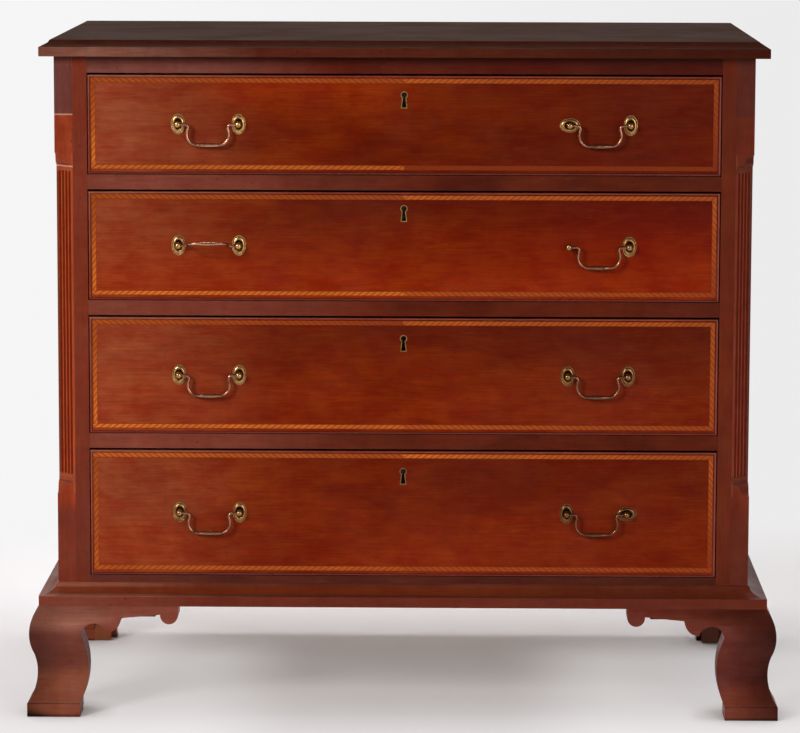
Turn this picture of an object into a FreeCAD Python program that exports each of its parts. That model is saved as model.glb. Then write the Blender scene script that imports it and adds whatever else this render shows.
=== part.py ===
import FreeCAD, Part
import math
import os

# Chest of four graduated drawers with fluted canted corners and ogee bracket feet.
# Millimetres. X runs to the right, Y from the front to the back, Z up from the floor.
# The origin is under the middle of the whole chest, on the floor.

# ---- case
case_width = 923.4
case_depth = 521.6
foot_height = 147.7            # floor to the underside of the base moulding
bottom_board_thickness = 18.2
rail_thickness = 20.0
top_rail_height = 22.3
drawer_openings = [172.0, 158.7, 147.4, 133.9]  # clear heights, lowest drawer first
stile_width = 19.1
rail_depth = 60.0
stile_thickness = 24.0
tenon_length = 10.0
tenon_shoulder = 4.0
back_thickness = 12.0
back_board_count = 4
back_lap = 9.0
side_rabbet = 10.0
runner_width = 44.0
guide_height = 18.0
stop_size = (40.0, 16.0, 5.0)  # along X, along Y, height
stop_inset = 118.6             # middle of a stop in from the side of the opening

# ---- fluted corner posts
cant = 24.0
post_depth = 45.0
flute_count = 4
flute_width = 4.5
flute_depth = 2.1
flute_pitch = 6.6
flute_sides = 8                # flats round the plane that cuts it
cant_bottom = 296.0            # where the lower lamb's tongue leaves the square corner
cant_top = 752.5               # where the upper one does
tongue_length = 16.0
tongue_hollow = (0.37, 0.16)   # a point of its hollow, as shares of its depth and length
fillet_band = 3.2              # plain raised band between the tongue and the flutes
band_relief = 0.9
flute_margin = 5.0

# ---- top
top_thickness = 21.5
top_overhang = 18.3
top_band = 12.6                # square lower part of the edge
top_cove_width = 13.6
top_step = 1.4
top_cove = (0.58, 0.33)        # a point of the cove, as shares of its width and height

# ---- base moulding and feet
base_height = 28.2
base_projection = 24.2
base_round = (3.0, 5.2)        # the round at the top: how far out, how far down
base_round_middle = (2.4, 2.2)
base_hollow = (8.4, 4.1)       # a point of the hollow: how far out, height over the fascia
base_quirk = 1.8
fascia_height = 13.8
foot_reach = 39.6              # how far the foot pads stand out from the case
facing_stock = 45.0
pad_height = 17.5
pad_width = 70.7
ogee_belly = (36.2, 117.0)     # distance out from the case, height
ogee_turn = (30.6, 85.0)
ogee_ankle = (26.2, 61.0)
leg_bulge = (81.5, 58.0)       # distance in from the pad's outer edge, height
leg_top = (72.5, 111.5)
arch_crown = (88.5, 126.3)
cusp = (106.0, 113.8)
lobe_radius = 19.4
lobe_top_height = 133.0
drop_radius = 12.0
drop_below = 10.1              # centre of the drop below the base moulding
bracket_length = 201.9
rear_bracket_thickness = 18.0
rear_bracket_setback = 28.6
rear_bracket_leg = 31.0
rear_bracket_reach = 120.0
rear_bracket_sweep = (0.28, 0.68)  # a point of its sweep, as shares of reach and height
block_size = 24.0
block_clear = 1.5
strip_block = (100.0, 20.0)    # length and section of the strips under the bottom board

# ---- drawers
drawer_names = ["drawer_4", "drawer_3", "drawer_2", "drawer_1"]  # lowest first
rear_gap = 47.0                # from the back of a shut drawer to the back boards
front_thickness = 22.0
front_setback = 0.6
side_gap = 1.3
top_gap = 2.4
bottom_gap = 0.8
drawer_side_thickness = 11.0
drawer_back_thickness = 11.0
side_drop = 3.0                # the sides stop this far below the top of the front
back_drop = 4.0
tail_length = 12.0
tail_slope = 1.6
tail_spacing = 48.0
tail_share = 0.62
bottom_thickness = 9.0
bottom_tongue = 5.0
bottom_bevel = 28.0
bevel_flat = 1.0               # level part of the tongue outside the groove
bottom_top = 17.0              # top of the drawer bottom above the runners
groove_depth = 5.0
joint_clearance = 0.2
bead_thickness = 2.6
bead_depth = 9.0
bead_stand = 1.8
bead_nose = 0.9                # how far the middle of the bead stands past its edges
bead_flat = 0.8                # half width of the flat along its middle
inlay_margin = 4.0
inlay_lower_margin = 6.2
inlay_width = 6.0
inlay_thickness = 1.2

# ---- lock and keyhole
keyhole_height = 22.5
keyhole_radius = 4.9
keyhole_neck = 2.8
keyhole_foot = 4.3
keyhole_sides = 8              # flats round its head
keyhole_drops = {"drawer_4": 25.2, "drawer_3": 25.0, "drawer_2": 19.2, "drawer_1": 22.9}
liner_wall = 1.2
liner_depth = 5.0
lock_width = 62.0
lock_height = 44.0
lock_thickness = 9.6
bolt_width = 20.0
bolt_thickness = 5.0
bolt_length = 18.0
bolt_throw = 8.0
bolt_inset = 4.8               # bolt centre in from the back of the drawer front
bolt_play = 0.3
mortise_margin = 1.2
mortise_depth = 8.5

# ---- pulls
pull_inset = 158.9             # middle of a pull in from the end of the drawer
pull_spacing = 80.0
rosette_half = (9.4, 13.8)     # upright ovals: half width, half height
rosette_rim = 2.4
rosette_dish = 1.3
rosette_lip = 1.2
rosette_sides = 8
pull_stand = 9.6               # bail axis in front of the drawer face
post_sides = 8
stem_radius = 3.0
stem_clearance = 0.15
head_radius = 4.6
head_half = 2.5                # half length of the head's straight part
head_front = 4.4               # post head in front of the bail axis
head_tip = 2.5
neck_length = 0.6
nut_size = (11.0, 4.0)
pin_radius = 1.9
pin_clearance = 0.06
pin_bite = 4.4                 # length of bail pin inside the post head
pin_end_gap = 0.3
bail_leg = 26.0                # half distance between the bail's legs at the top
bail_splay = 1.6
bail_drop = 27.2
bail_shoulder = 4.6
bail_corner = 13.5
grip_radius = 2.9
grip_start = 13.0              # half distances between which the grip swells
grip_full = 6.0
bail_sides = 6
bend_steps = 3
raised_angle = 102.0           # the left bail of the second drawer stands out
missing_rosette = ("drawer_2", 1, -1)  # drawer, side, post
loose_rosettes = [("drawer_1", 1, -1), ("drawer_4", 1, 1)]  # turned on their posts
loose_angle = 90.0

# ---- derived places
half_case = case_width / 2
stile_outer = half_case - cant
half_opening = stile_outer - stile_width
half_drawer = half_opening - side_gap
pull_centre = half_drawer - pull_inset
bottom_top_z = foot_height + bottom_board_thickness
case_top = (bottom_top_z + sum(drawer_openings)
            + len(drawer_openings) * rail_thickness + top_rail_height)
bail_reach = pull_stand + grip_radius - front_setback
bail_reach += bail_drop * math.sin(math.radians(raised_angle))
front_reach = max(foot_reach, bail_reach)
case_front = front_reach - (case_depth + front_reach) / 2
case_back = case_front + case_depth
back_front = case_back - back_thickness
face_y = case_front + front_setback
front_back_y = face_y + front_thickness
drawer_rear = back_front - rear_gap
up = FreeCAD.Vector(0, 0, 1)
along_x = FreeCAD.Vector(1, 0, 0)
along_y = FreeCAD.Vector(0, 1, 0)
origin = FreeCAD.Vector(0, 0, 0)


def vec(x, y, z):
    return FreeCAD.Vector(x, y, z)


def box(x0, x1, y0, y1, z0, z1):
    return Part.makeBox(x1 - x0, y1 - y0, z1 - z0, vec(x0, y0, z0))


def mirrored(shape):
    return shape.mirror(origin, along_x)


def both_sides(shape):
    return [shape, mirrored(shape)]


def prism(points, along):
    outline = Part.makePolygon(points + [points[0]])
    return Part.Face(outline).extrude(along)


def profile_face(edges):
    return Part.Face(Part.Wire(Part.sortEdges(edges)[0]))


def line(start, end):
    return Part.LineSegment(start, end).toShape()


def arc(start, middle, end):
    return Part.Arc(start, middle, end).toShape()


def ring(centre, radius, across, other, sides):
    # corners of a regular polygon in the plane of two vectors
    points = []
    for index in range(sides):
        angle = 2 * math.pi * (index + 0.5) / sides
        points.append(centre + across * (radius * math.cos(angle))
                      + other * (radius * math.sin(angle)))
    return points


def flat_face(points):
    return Part.Face(Part.makePolygon(points + [points[0]]))


def faceted(rings):
    # closed solid through rings of corners, with a flat between each pair of edges
    count = len(rings[0])
    faces = [flat_face(rings[0]), flat_face(rings[-1])]
    for first, second in zip(rings, rings[1:]):
        for index in range(count):
            after = (index + 1) % count
            faces.append(flat_face([first[index], first[after], second[after],
                                    second[index]]))
    solid = Part.Solid(Part.Shell(faces))
    if solid.Volume < 0:
        solid.reverse()
    return solid


def save(name, solids):
    shape = solids[0] if len(solids) == 1 else Part.makeCompound(solids)
    shape.exportStep(f"parts/{name}.step")


def opening_levels():
    # bottom and top of each drawer opening, lowest first
    levels = []
    z = bottom_top_z + rail_thickness
    for height in drawer_openings:
        levels.append((z, z + height))
        z += height + rail_thickness
    return levels


# ---- the case

def top_edge_cutter(length):
    # section of what is planed off the top's edge: a step, then a cove; outwards is -Y
    z_band = case_top + top_band
    z_top = case_top + top_thickness
    rise = top_thickness - top_band
    run = top_cove_width - top_step
    start = vec(0, top_step, z_band)
    middle = vec(0, top_step + top_cove[0] * run, z_band + top_cove[1] * rise)
    end = vec(0, top_cove_width, z_top)
    over = vec(0, top_cove_width, z_top + rise)
    outer_top = vec(0, -rise, z_top + rise)
    outer = vec(0, -rise, z_band)
    face = profile_face([line(outer, start), arc(start, middle, end), line(end, over),
                         line(over, outer_top), line(outer_top, outer)])
    return face.extrude(along_x * length)


def top_board():
    half = half_case + top_overhang
    front = case_front - top_overhang
    board = box(-half, half, front, case_back, case_top, case_top + top_thickness)
    front_cut = top_edge_cutter(2 * half + 2 * top_thickness)
    front_cut.translate(vec(-half - top_thickness, front, 0))
    side_cut = top_edge_cutter(case_depth + top_overhang + 2 * top_thickness)
    side_cut.rotate(origin, up, -90)
    side_cut.translate(vec(-half, case_back + top_thickness, 0))
    return [board.cut(front_cut).cut(side_cut).cut(mirrored(side_cut))]


def case_side():
    side = box(stile_outer, half_case, case_front + post_depth, case_back, foot_height, case_top)
    back_rabbet = box(stile_outer, stile_outer + side_rabbet, back_front, case_back,
                      foot_height, case_top)
    bottom_rabbet = box(stile_outer, stile_outer + side_rabbet, case_front + post_depth,
                        back_front, foot_height, bottom_top_z)
    return side.cut(back_rabbet).cut(bottom_rabbet)


def tongue_edges():
    # lower end of the cant: an S-curved lamb's tongue, then a plain band and a small step
    depth = cant / math.sqrt(2)
    band_depth = depth - band_relief
    across, along = tongue_hollow

    def at(share_deep, share_long):
        return vec(share_deep * band_depth, 0, cant_bottom + share_long * tongue_length)
    band_end = vec(band_depth, 0, cant_bottom + tongue_length + fillet_band)
    return [arc(at(0, 0), at(across, along), at(0.5, 0.5)),
            arc(at(0.5, 0.5), at(1 - across, 1 - along), at(1, 1)),
            line(at(1, 1), band_end),
            line(band_end, vec(depth, 0, band_end.z))]


def cant_section():
    # how deep the corner is cut, measured square to the canted face, at each height
    depth = cant / math.sqrt(2)
    z_middle = (cant_bottom + cant_top) / 2
    lower = tongue_edges()
    upper = [edge.mirror(vec(0, 0, z_middle), up) for edge in lower]
    z_low = cant_bottom + tongue_length + fillet_band
    z_high = 2 * z_middle - z_low
    corners = [vec(0, 0, cant_top), vec(-depth, 0, cant_top), vec(-depth, 0, cant_bottom),
               vec(0, 0, cant_bottom)]
    outside = [line(start, end) for start, end in zip(corners, corners[1:])]
    straight = line(vec(depth, 0, z_low), vec(depth, 0, z_high))
    return profile_face(lower + [straight] + upper + outside)


def flute(length):
    # one flute standing on the XZ plane; its ends slope up to the surface
    radius = flute_width / 2 / math.cos(math.pi / flute_sides)
    x = flute_depth - flute_width / 2
    rod = faceted([ring(vec(x, 0, z), radius, along_x, along_y, flute_sides)
                   for z in (0, length)])
    inset = flute_width / 2
    ends = prism([vec(-flute_depth, -radius, -inset), vec(flute_depth, -radius, inset),
                  vec(flute_depth, -radius, length - inset),
                  vec(-flute_depth, -radius, length + inset)], along_y * (2 * radius))
    return rod.common(ends)


def corner_post():
    # right-hand post; the cant is cut in a frame whose X runs inwards across the corner
    post = box(stile_outer, half_case, case_front, case_front + post_depth,
               foot_height, case_top)
    width = 2 * cant
    cutter = cant_section().extrude(along_y * width)
    cutter.translate(vec(0, -width / 2, 0))
    depth = cant / math.sqrt(2)
    flute_bottom = cant_bottom + tongue_length + fillet_band + flute_margin
    flute_top = cant_top - tongue_length - fillet_band - flute_margin
    for index in range(flute_count):
        shape = flute(flute_top - flute_bottom)
        offset = (index - (flute_count - 1) / 2) * flute_pitch
        shape.translate(vec(depth, offset, flute_bottom))
        cutter = cutter.fuse(shape)
    cutter.rotate(origin, up, 135)
    cutter.translate(vec(half_case, case_front, 0))
    return post.cut(cutter)


def front_stile():
    stile = box(half_opening, stile_outer, case_front, case_front + stile_thickness,
                bottom_top_z, case_top)
    for z0, z1 in rail_levels():
        stile = stile.cut(tenon(z0, z1, joint_clearance))
    return stile


def rail_levels():
    # bottom and top of every rail, lowest first, with the top rail last
    levels = opening_levels()
    rails = [(low - rail_thickness, low) for low, _ in levels]
    rails.append((levels[-1][1], case_top))
    return rails


def tenon(z0, z1, clearance):
    return box(half_opening - clearance, half_opening + tenon_length + clearance,
               case_front + tenon_shoulder - clearance,
               case_front + stile_thickness - tenon_shoulder + clearance,
               z0 + tenon_shoulder - clearance, z1 - tenon_shoulder + clearance)


def bolt_centre_y():
    return front_back_y - bolt_inset


def bolt_mortise(z_under):
    half_width = bolt_width / 2 + mortise_margin
    half_thick = bolt_thickness / 2 + mortise_margin
    y = bolt_centre_y()
    return box(-half_width, half_width, y - half_thick, y + half_thick,
               z_under, z_under + mortise_depth)


def front_rail(z0, z1, with_mortise):
    front = box(-half_opening, half_opening, case_front, case_front + stile_thickness, z0, z1)
    rear = box(-stile_outer, stile_outer, case_front + stile_thickness,
               case_front + rail_depth, z0, z1)
    rail = front.fuse([rear] + both_sides(tenon(z0, z1, 0)))
    if with_mortise:
        rail = rail.cut(bolt_mortise(z0))
    return rail.removeSplitter()


def case_bottom():
    front = box(-stile_outer, stile_outer, case_front, case_front + post_depth,
                foot_height, bottom_top_z)
    rear = box(-stile_outer - side_rabbet, stile_outer + side_rabbet, case_front + post_depth,
               back_front, foot_height, bottom_top_z)
    return [front.fuse(rear).removeSplitter()]


def back_boards():
    # shiplapped boards nailed into the rabbets of the sides
    half = stile_outer + side_rabbet
    height = (case_top - foot_height) / back_board_count
    middle = back_front + back_thickness / 2
    boards = []
    for index in range(back_board_count):
        z0 = foot_height + index * height
        z1 = z0 + height
        z0_lap = z0 - (back_lap if index else 0)
        z1_lap = z1 - (back_lap if index < back_board_count - 1 else 0)
        front_half = box(-half, half, back_front, middle, z0, z1)
        back_half = box(-half, half, middle, case_back, z0_lap, z1_lap)
        boards.append(front_half.fuse(back_half).removeSplitter())
    return boards


def runners_and_kickers():
    inner = stile_outer - runner_width
    solids = []
    for z0, z1 in rail_levels():
        runner = box(inner, stile_outer, case_front + rail_depth, back_front, z0, z1)
        solids += both_sides(runner)
    return solids


def drawer_guides():
    solids = []
    for z0, _ in opening_levels():
        guide = box(half_opening, stile_outer, case_front + stile_thickness, back_front,
                    z0, z0 + guide_height)
        solids += both_sides(guide)
    return solids


def drawer_stops():
    length, width, height = stop_size
    middle = half_opening - stop_inset
    solids = []
    for z0, _ in opening_levels():
        stop = box(middle - length / 2, middle + length / 2,
                   front_back_y + joint_clearance, front_back_y + joint_clearance + width,
                   z0, z0 + height)
        solids += both_sides(stop)
    return solids


# ---- base moulding and feet

def base_section():
    # outwards is -Y: a small round at the top, a hollow, then the upright fascia
    top = foot_height + base_height
    fascia_top = foot_height + fascia_height
    start = vec(0, 0, top)
    round_middle = vec(0, -base_round_middle[0], top - base_round_middle[1])
    round_end = vec(0, -base_round[0], top - base_round[1])
    hollow = vec(0, -base_hollow[0], fascia_top + base_hollow[1])
    hollow_end = vec(0, base_quirk - base_projection, fascia_top)
    edge_high = vec(0, -base_projection, fascia_top)
    edge_low = vec(0, -base_projection, foot_height)
    inner_low = vec(0, 0, foot_height)
    return profile_face([arc(start, round_middle, round_end),
                         arc(round_end, hollow, hollow_end), line(hollow_end, edge_high),
                         line(edge_high, edge_low), line(edge_low, inner_low),
                         line(inner_low, start)])


def mitre_wedge(reach, z0, z1):
    # keeps what lies on the front's side of the mitre at the right-hand corner
    big = 2 * case_width
    corner = vec(half_case, case_front, z0)
    points = [corner + vec(-big, big, 0), corner + vec(reach, -reach, 0) * 2,
              corner + vec(-big, -big, 0)]
    return prism(points, vec(0, 0, z1 - z0))


def swapped(shape):
    # the side piece is the front piece turned over the mitre of the right-hand corner
    return shape.mirror(vec(half_case, case_front, 0), vec(1, 1, 0).normalize())


def base_moulding():
    length = case_width + 2 * base_projection
    run = base_section().extrude(along_x * length)
    run.translate(vec(-length / 2, case_front, 0))
    wedge = mitre_wedge(length, foot_height, foot_height + base_height)
    front = run.common(wedge).common(mirrored(wedge))
    side = swapped(run.common(wedge))
    side = side.common(box(0, case_width, case_front - base_projection, case_back,
                           foot_height, foot_height + base_height))
    return front, both_sides(side)


def ogee_section():
    # outwards is -Y from the case's front; the pad is square and the face above it swells
    back = facing_stock - foot_reach
    pad_top = vec(0, -foot_reach, pad_height)
    turn = vec(0, -ogee_turn[0], ogee_turn[1])
    top = vec(0, -base_projection, foot_height)
    edges = [
        line(vec(0, back, 0), vec(0, -foot_reach, 0)),
        line(vec(0, -foot_reach, 0), pad_top),
        arc(pad_top, vec(0, -ogee_ankle[0], ogee_ankle[1]), turn),
        arc(turn, vec(0, -ogee_belly[0], ogee_belly[1]), top),
        line(top, vec(0, back, foot_height)),
        line(vec(0, back, foot_height), vec(0, back, 0)),
    ]
    return profile_face(edges)


def bracket_outline():
    # seen from the front, x measured in from the pad's outer edge
    def at(point):
        return vec(point[0], 0, point[1])
    lobe_start = (cusp[0] + lobe_radius, lobe_top_height)
    lobe_middle = (cusp[0] + lobe_radius * math.sin(math.radians(45)),
                   lobe_top_height - lobe_radius * math.cos(math.radians(45)))
    drop_outer = (bracket_length - 2 * drop_radius, foot_height - drop_below)
    drop_low = (bracket_length - drop_radius, drop_outer[1] - drop_radius)
    drop_inner = (bracket_length, drop_outer[1])
    edges = [
        line(at((0, 0)), at((pad_width, 0))),
        line(at((pad_width, 0)), at((pad_width, pad_height))),
        arc(at((pad_width, pad_height)), at(leg_bulge), at(leg_top)),
        arc(at(leg_top), at(arch_crown), at(cusp)),
        arc(at(cusp), at(lobe_middle), at(lobe_start)),
        line(at(lobe_start), at(drop_outer)),
        arc(at(drop_outer), at(drop_low), at(drop_inner)),
        line(at(drop_inner), at((bracket_length, foot_height))),
        line(at((bracket_length, foot_height)), at((0, foot_height))),
        line(at((0, foot_height)), at((0, 0))),
    ]
    return profile_face(edges)


def ogee_run():
    # the ogee stock along the front's right half, out past the corner
    run = ogee_section().extrude(along_x * (half_case + foot_reach))
    run.translate(vec(0, case_front, 0))
    return run


def front_facing():
    outline = bracket_outline().extrude(along_y * (2 * facing_stock))
    outline = mirrored(outline)
    outline.translate(vec(half_case + foot_reach, case_front - foot_reach, 0))
    return ogee_run().common(outline).common(mitre_wedge(foot_reach, 0, foot_height))


def rear_side_facing():
    outline = bracket_outline().extrude(along_y * (2 * facing_stock))
    outline.rotate(origin, up, -90)
    outline.translate(vec(half_case - facing_stock, case_back, 0))
    run = ogee_section().extrude(along_x * case_depth)
    run.translate(vec(0, case_front, 0))
    run.rotate(vec(0, case_front, 0), up, 90)
    run.translate(vec(half_case, 0, 0))
    return run.common(outline)


def rear_inner_bracket():
    # plain board behind the ogee facing, swept up to the case bottom
    back = facing_stock - foot_reach
    outer = half_case - back
    y0 = case_back - rear_bracket_setback - rear_bracket_thickness
    leg = outer - rear_bracket_leg
    reach = outer - rear_bracket_reach
    sweep = vec(leg - (leg - reach) * rear_bracket_sweep[0], y0,
                foot_height * rear_bracket_sweep[1])
    edges = [
        line(vec(outer, y0, 0), vec(leg, y0, 0)),
        arc(vec(leg, y0, 0), sweep, vec(reach, y0, foot_height)),
        line(vec(reach, y0, foot_height), vec(outer, y0, foot_height)),
        line(vec(outer, y0, foot_height), vec(outer, y0, 0)),
    ]
    return profile_face(edges).extrude(along_y * rear_bracket_thickness)


def foot_blocks():
    # a post in each corner and two strips under the bottom board
    back = facing_stock - foot_reach
    x1 = half_case - back
    y0 = case_front + back
    length, section = strip_block
    z0 = foot_height - section
    post = box(x1 - block_size, x1, y0, y0 + block_size, block_clear, foot_height)
    along_front = box(x1 - block_size - length, x1 - block_size, y0, y0 + section,
                      z0, foot_height)
    along_side = box(x1 - section, x1, y0 + block_size, y0 + block_size + length,
                     z0, foot_height)
    y_rear = case_back - rear_bracket_setback - rear_bracket_thickness
    rear_post = box(x1 - block_size, x1, y_rear - block_size, y_rear, block_clear, foot_height)
    rear_side = box(x1 - section, x1, y_rear - block_size - length, y_rear - block_size,
                    z0, foot_height)
    solids = []
    for shape in (post, along_front, along_side, rear_post, rear_side):
        solids += both_sides(shape)
    return solids


# ---- one drawer

def tail_places(z0, z1):
    # centre heights and half heights of the dovetails on a drawer side
    count = max(2, round((z1 - z0) / tail_spacing))
    pitch = (z1 - z0) / count
    half = pitch * tail_share / 2
    return [(z0 + (index + 0.5) * pitch, half) for index in range(count)]


def tails(x0, x1, y_root, y_tip, z0, z1, clearance):
    # dovetails run along Y from the root to a wider tip and go through X
    solids = []
    for centre, half in tail_places(z0, z1):
        root = half - tail_slope + clearance
        tip = half + tail_slope + clearance
        points = [vec(x0, y_root, centre - root), vec(x0, y_root, centre + root),
                  vec(x0, y_tip, centre + tip), vec(x0, y_tip, centre - tip)]
        solids.append(prism(points, along_x * (x1 - x0)))
    return solids


def front_span(z_low, z_high):
    # bottom and top of a drawer front in its opening
    return z_low + bottom_gap, z_high - top_gap


def side_top(z_high):
    return z_high - top_gap - side_drop


def floor_top(z_low):
    return z_low + bottom_top


def keyhole(inset, depth, key_top):
    # round head over a flared foot, cut in from the drawer face; inset shrinks it evenly
    radius = keyhole_radius - inset
    z_head = key_top - keyhole_radius
    z_foot = key_top - keyhole_height + inset
    foot_half = keyhole_foot - inset
    neck = math.asin((keyhole_neck - inset) / radius)
    points = [vec(-foot_half, face_y, z_foot), vec(foot_half, face_y, z_foot)]
    for step in range(keyhole_sides + 1):
        turn = neck + 2 * (math.pi - neck) * step / keyhole_sides
        points.append(vec(radius * math.sin(turn), face_y, z_head - radius * math.cos(turn)))
    return prism(points, along_y * depth)


def lock_box(z_high, clearance):
    half = lock_width / 2 + clearance
    top = z_high - top_gap
    return box(-half, half, front_back_y - lock_thickness - clearance, front_back_y,
               top - lock_height - clearance, top)


def post_places():
    places = []
    for side in (-1, 1):
        for post in (-1, 1):
            places.append((side, post, side * pull_centre + post * pull_spacing / 2))
    return places


def inlay_strips(z_low, z_high):
    front_low, front_high = front_span(z_low, z_high)
    outer_x = half_drawer - inlay_margin
    inner_x = outer_x - inlay_width
    z0 = front_low + inlay_lower_margin
    z1 = front_high - inlay_margin
    y1 = face_y + inlay_thickness
    lower = box(-outer_x, outer_x, face_y, y1, z0, z0 + inlay_width)
    upper = box(-outer_x, outer_x, face_y, y1, z1 - inlay_width, z1)
    upright = box(inner_x, outer_x, face_y, y1, z0 + inlay_width, z1 - inlay_width)
    return [lower, upper] + both_sides(upright)


def bead_run(length):
    # bead along X, its outer side down: square in the rabbet, its nose worked in three flats
    y_edge = face_y - bead_stand + bead_nose
    y_nose = face_y - bead_stand
    y_back = face_y + bead_depth
    middle = bead_thickness / 2
    return prism([vec(0, y_edge, 0), vec(0, y_back, 0), vec(0, y_back, bead_thickness),
                  vec(0, y_edge, bead_thickness), vec(0, y_nose, middle + bead_flat),
                  vec(0, y_nose, middle - bead_flat)], along_x * length)


def bead_mitre(z_corner, sense):
    # a wedge that keeps the level strip inside both of its end mitres
    half = half_drawer
    y0 = face_y - bead_stand
    points = [vec(-half, y0, z_corner), vec(half, y0, z_corner),
              vec(0, y0, z_corner + sense * half)]
    return prism(points, along_y * (bead_depth + bead_stand))


def cock_bead(z_low, z_high):
    front_low, front_high = front_span(z_low, z_high)
    half = half_drawer
    run = bead_run(2 * half)
    lower = run.copy()
    lower.translate(vec(-half, 0, front_low))
    lower = lower.common(bead_mitre(front_low, 1))
    upper = run.mirror(origin, up)
    upper.translate(vec(-half, 0, front_high))
    upper = upper.common(bead_mitre(front_high, -1))
    upright = bead_run(front_high - front_low)
    upright.rotate(origin, along_y, -90)
    upright.translate(vec(half, 0, front_low))
    for z_corner, sense in ((front_low, 1), (front_high, -1)):
        upright = upright.cut(bead_mitre(z_corner, sense))
    return [lower, upper] + both_sides(upright)


def drawer_front(z_low, z_high, key_top):
    front_low, front_high = front_span(z_low, z_high)
    half = half_drawer
    board = box(-half, half, face_y, front_back_y, front_low, front_high)
    inner = half - bead_thickness
    rabbet = box(-half, half, face_y, face_y + bead_depth, front_low, front_high)
    rabbet = rabbet.cut(box(-inner, inner, face_y, face_y + bead_depth,
                            front_low + bead_thickness, front_high - bead_thickness))
    cutters = [rabbet] + inlay_strips(z_low, z_high)
    inner_half = half - drawer_side_thickness
    for socket in tails(inner_half - joint_clearance, half, front_back_y,
                        front_back_y - tail_length - joint_clearance, z_low, side_top(z_high),
                        joint_clearance):
        cutters += both_sides(socket)
    floor = floor_top(z_low)
    cutters.append(box(-inner_half, inner_half, front_back_y - groove_depth - joint_clearance,
                       front_back_y, floor - bottom_tongue - joint_clearance, floor))
    cutters.append(lock_box(z_high, joint_clearance))
    cutters.append(keyhole(0, liner_depth, key_top))
    cutters.append(keyhole(liner_wall, front_thickness, key_top))
    for _, _, x in post_places():
        hole = stem_hole()
        hole.translate(vec(x, 0, (z_low + z_high) / 2))
        cutters.append(hole)
    return [board.cut(cutters)]


def drawer_box(z_low, z_high):
    # two sides with dovetails at both ends, and the back that they hold
    side_high = side_top(z_high)
    back_high = side_high - back_drop
    floor = floor_top(z_low)
    half = half_drawer
    inner = half - drawer_side_thickness
    back_y = drawer_rear - drawer_back_thickness
    side = box(inner, half, front_back_y, back_y, z_low, side_high)
    lower = box(inner, half, back_y, drawer_rear, z_low, floor)
    front_tails = tails(inner, half, front_back_y, front_back_y - tail_length,
                        z_low, side_high, 0)
    rear_tails = tails(inner, half, back_y, drawer_rear, floor, back_high, 0)
    side = side.fuse([lower] + front_tails + rear_tails)
    groove = box(inner, inner + groove_depth + joint_clearance, front_back_y - tail_length,
                 drawer_rear, floor - bottom_tongue - joint_clearance, floor)
    side = side.cut(groove).removeSplitter()
    back = box(-half, half, back_y, drawer_rear, floor, back_high)
    for socket in tails(inner - joint_clearance, half, back_y, drawer_rear, floor,
                        back_high, joint_clearance):
        back = back.cut(both_sides(socket))
    return both_sides(side) + [back]


def drawer_bottom(z_low):
    # its edges are bevelled underneath so that they fit the grooves
    floor = floor_top(z_low)
    half = half_drawer - drawer_side_thickness + groove_depth
    y0 = front_back_y - groove_depth
    y1 = drawer_rear
    z0 = floor - bottom_thickness
    z_tongue = floor - bottom_tongue
    panel = box(-half, half, y0, y1, z0, floor)
    flat = groove_depth + bevel_flat
    side_bevel = prism([vec(half, y0, z0), vec(half, y0, z_tongue),
                        vec(half - flat, y0, z_tongue), vec(half - bottom_bevel, y0, z0)],
                       along_y * (y1 - y0))
    front_bevel = prism([vec(-half, y0, z0), vec(-half, y0, z_tongue),
                         vec(-half, y0 + flat, z_tongue), vec(-half, y0 + bottom_bevel, z0)],
                        along_x * (2 * half))
    return [panel.cut(both_sides(side_bevel) + [front_bevel])]


def drawer_lock(z_high):
    return [lock_box(z_high, 0).cut(bolt_space(z_high))]


def keyhole_liner(key_top):
    return keyhole(0, liner_depth, key_top).cut(keyhole(liner_wall, liner_depth, key_top))


def bolt_space(z_high):
    top = z_high - top_gap
    half_width = bolt_width / 2 + bolt_play
    half_thick = bolt_thickness / 2 + bolt_play
    y = bolt_centre_y()
    return box(-half_width, half_width, y - half_thick, y + half_thick,
               top - bolt_length - bolt_play, top)


def lock_bolt(z_high):
    top = z_high - top_gap
    y = bolt_centre_y()
    return [box(-bolt_width / 2, bolt_width / 2, y - bolt_thickness / 2,
                y + bolt_thickness / 2, top - bolt_length, top)]


# ---- pulls

def turned(stations, sides):
    # small turned brass, worked in flats: stations are (y, radius) along Y
    return faceted([ring(vec(0, y, 0), radius, along_x, up, sides)
                    for y, radius in stations])


def stem_hole():
    radius = stem_radius + stem_clearance
    return turned([(face_y - rosette_rim, radius), (front_back_y, radius)], post_sides)


def oval(y, half_width):
    # upright oval of the given half width; all of them are the same shape
    height_share = rosette_half[1] / rosette_half[0]
    return ring(vec(0, y, 0), half_width, along_x, up * height_share, rosette_sides)


def rosette():
    # dished oval on the drawer face, with the post's hole through it
    front = face_y - rosette_rim
    rim = rosette_half[0]
    disc = faceted([oval(face_y, rim), oval(front, rim - rosette_lip)])
    dish = faceted([oval(front, rim - 2 * rosette_lip), oval(face_y - rosette_dish, stem_radius)])
    return disc.cut([dish, stem_hole()])


def pull_post(post):
    # stem through the front, then a head drilled from the bail's side
    axis_y = face_y - pull_stand
    neck_y = face_y - rosette_rim - neck_length
    body = turned([(front_back_y, stem_radius), (neck_y, stem_radius),
                   (axis_y + head_half, head_radius), (axis_y - head_half, head_radius),
                   (axis_y - head_front, head_tip)], post_sides)
    # the eye's flats lie outside the circle in which the pin turns
    eye_radius = (pin_radius + pin_clearance) / math.cos(math.pi / bail_sides)
    eye = faceted([ring(vec(x * post, axis_y, 0), eye_radius, along_y, up, bail_sides)
                   for x in (-2 * head_radius, pin_bite - head_radius)])
    return body.cut(eye)


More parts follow.
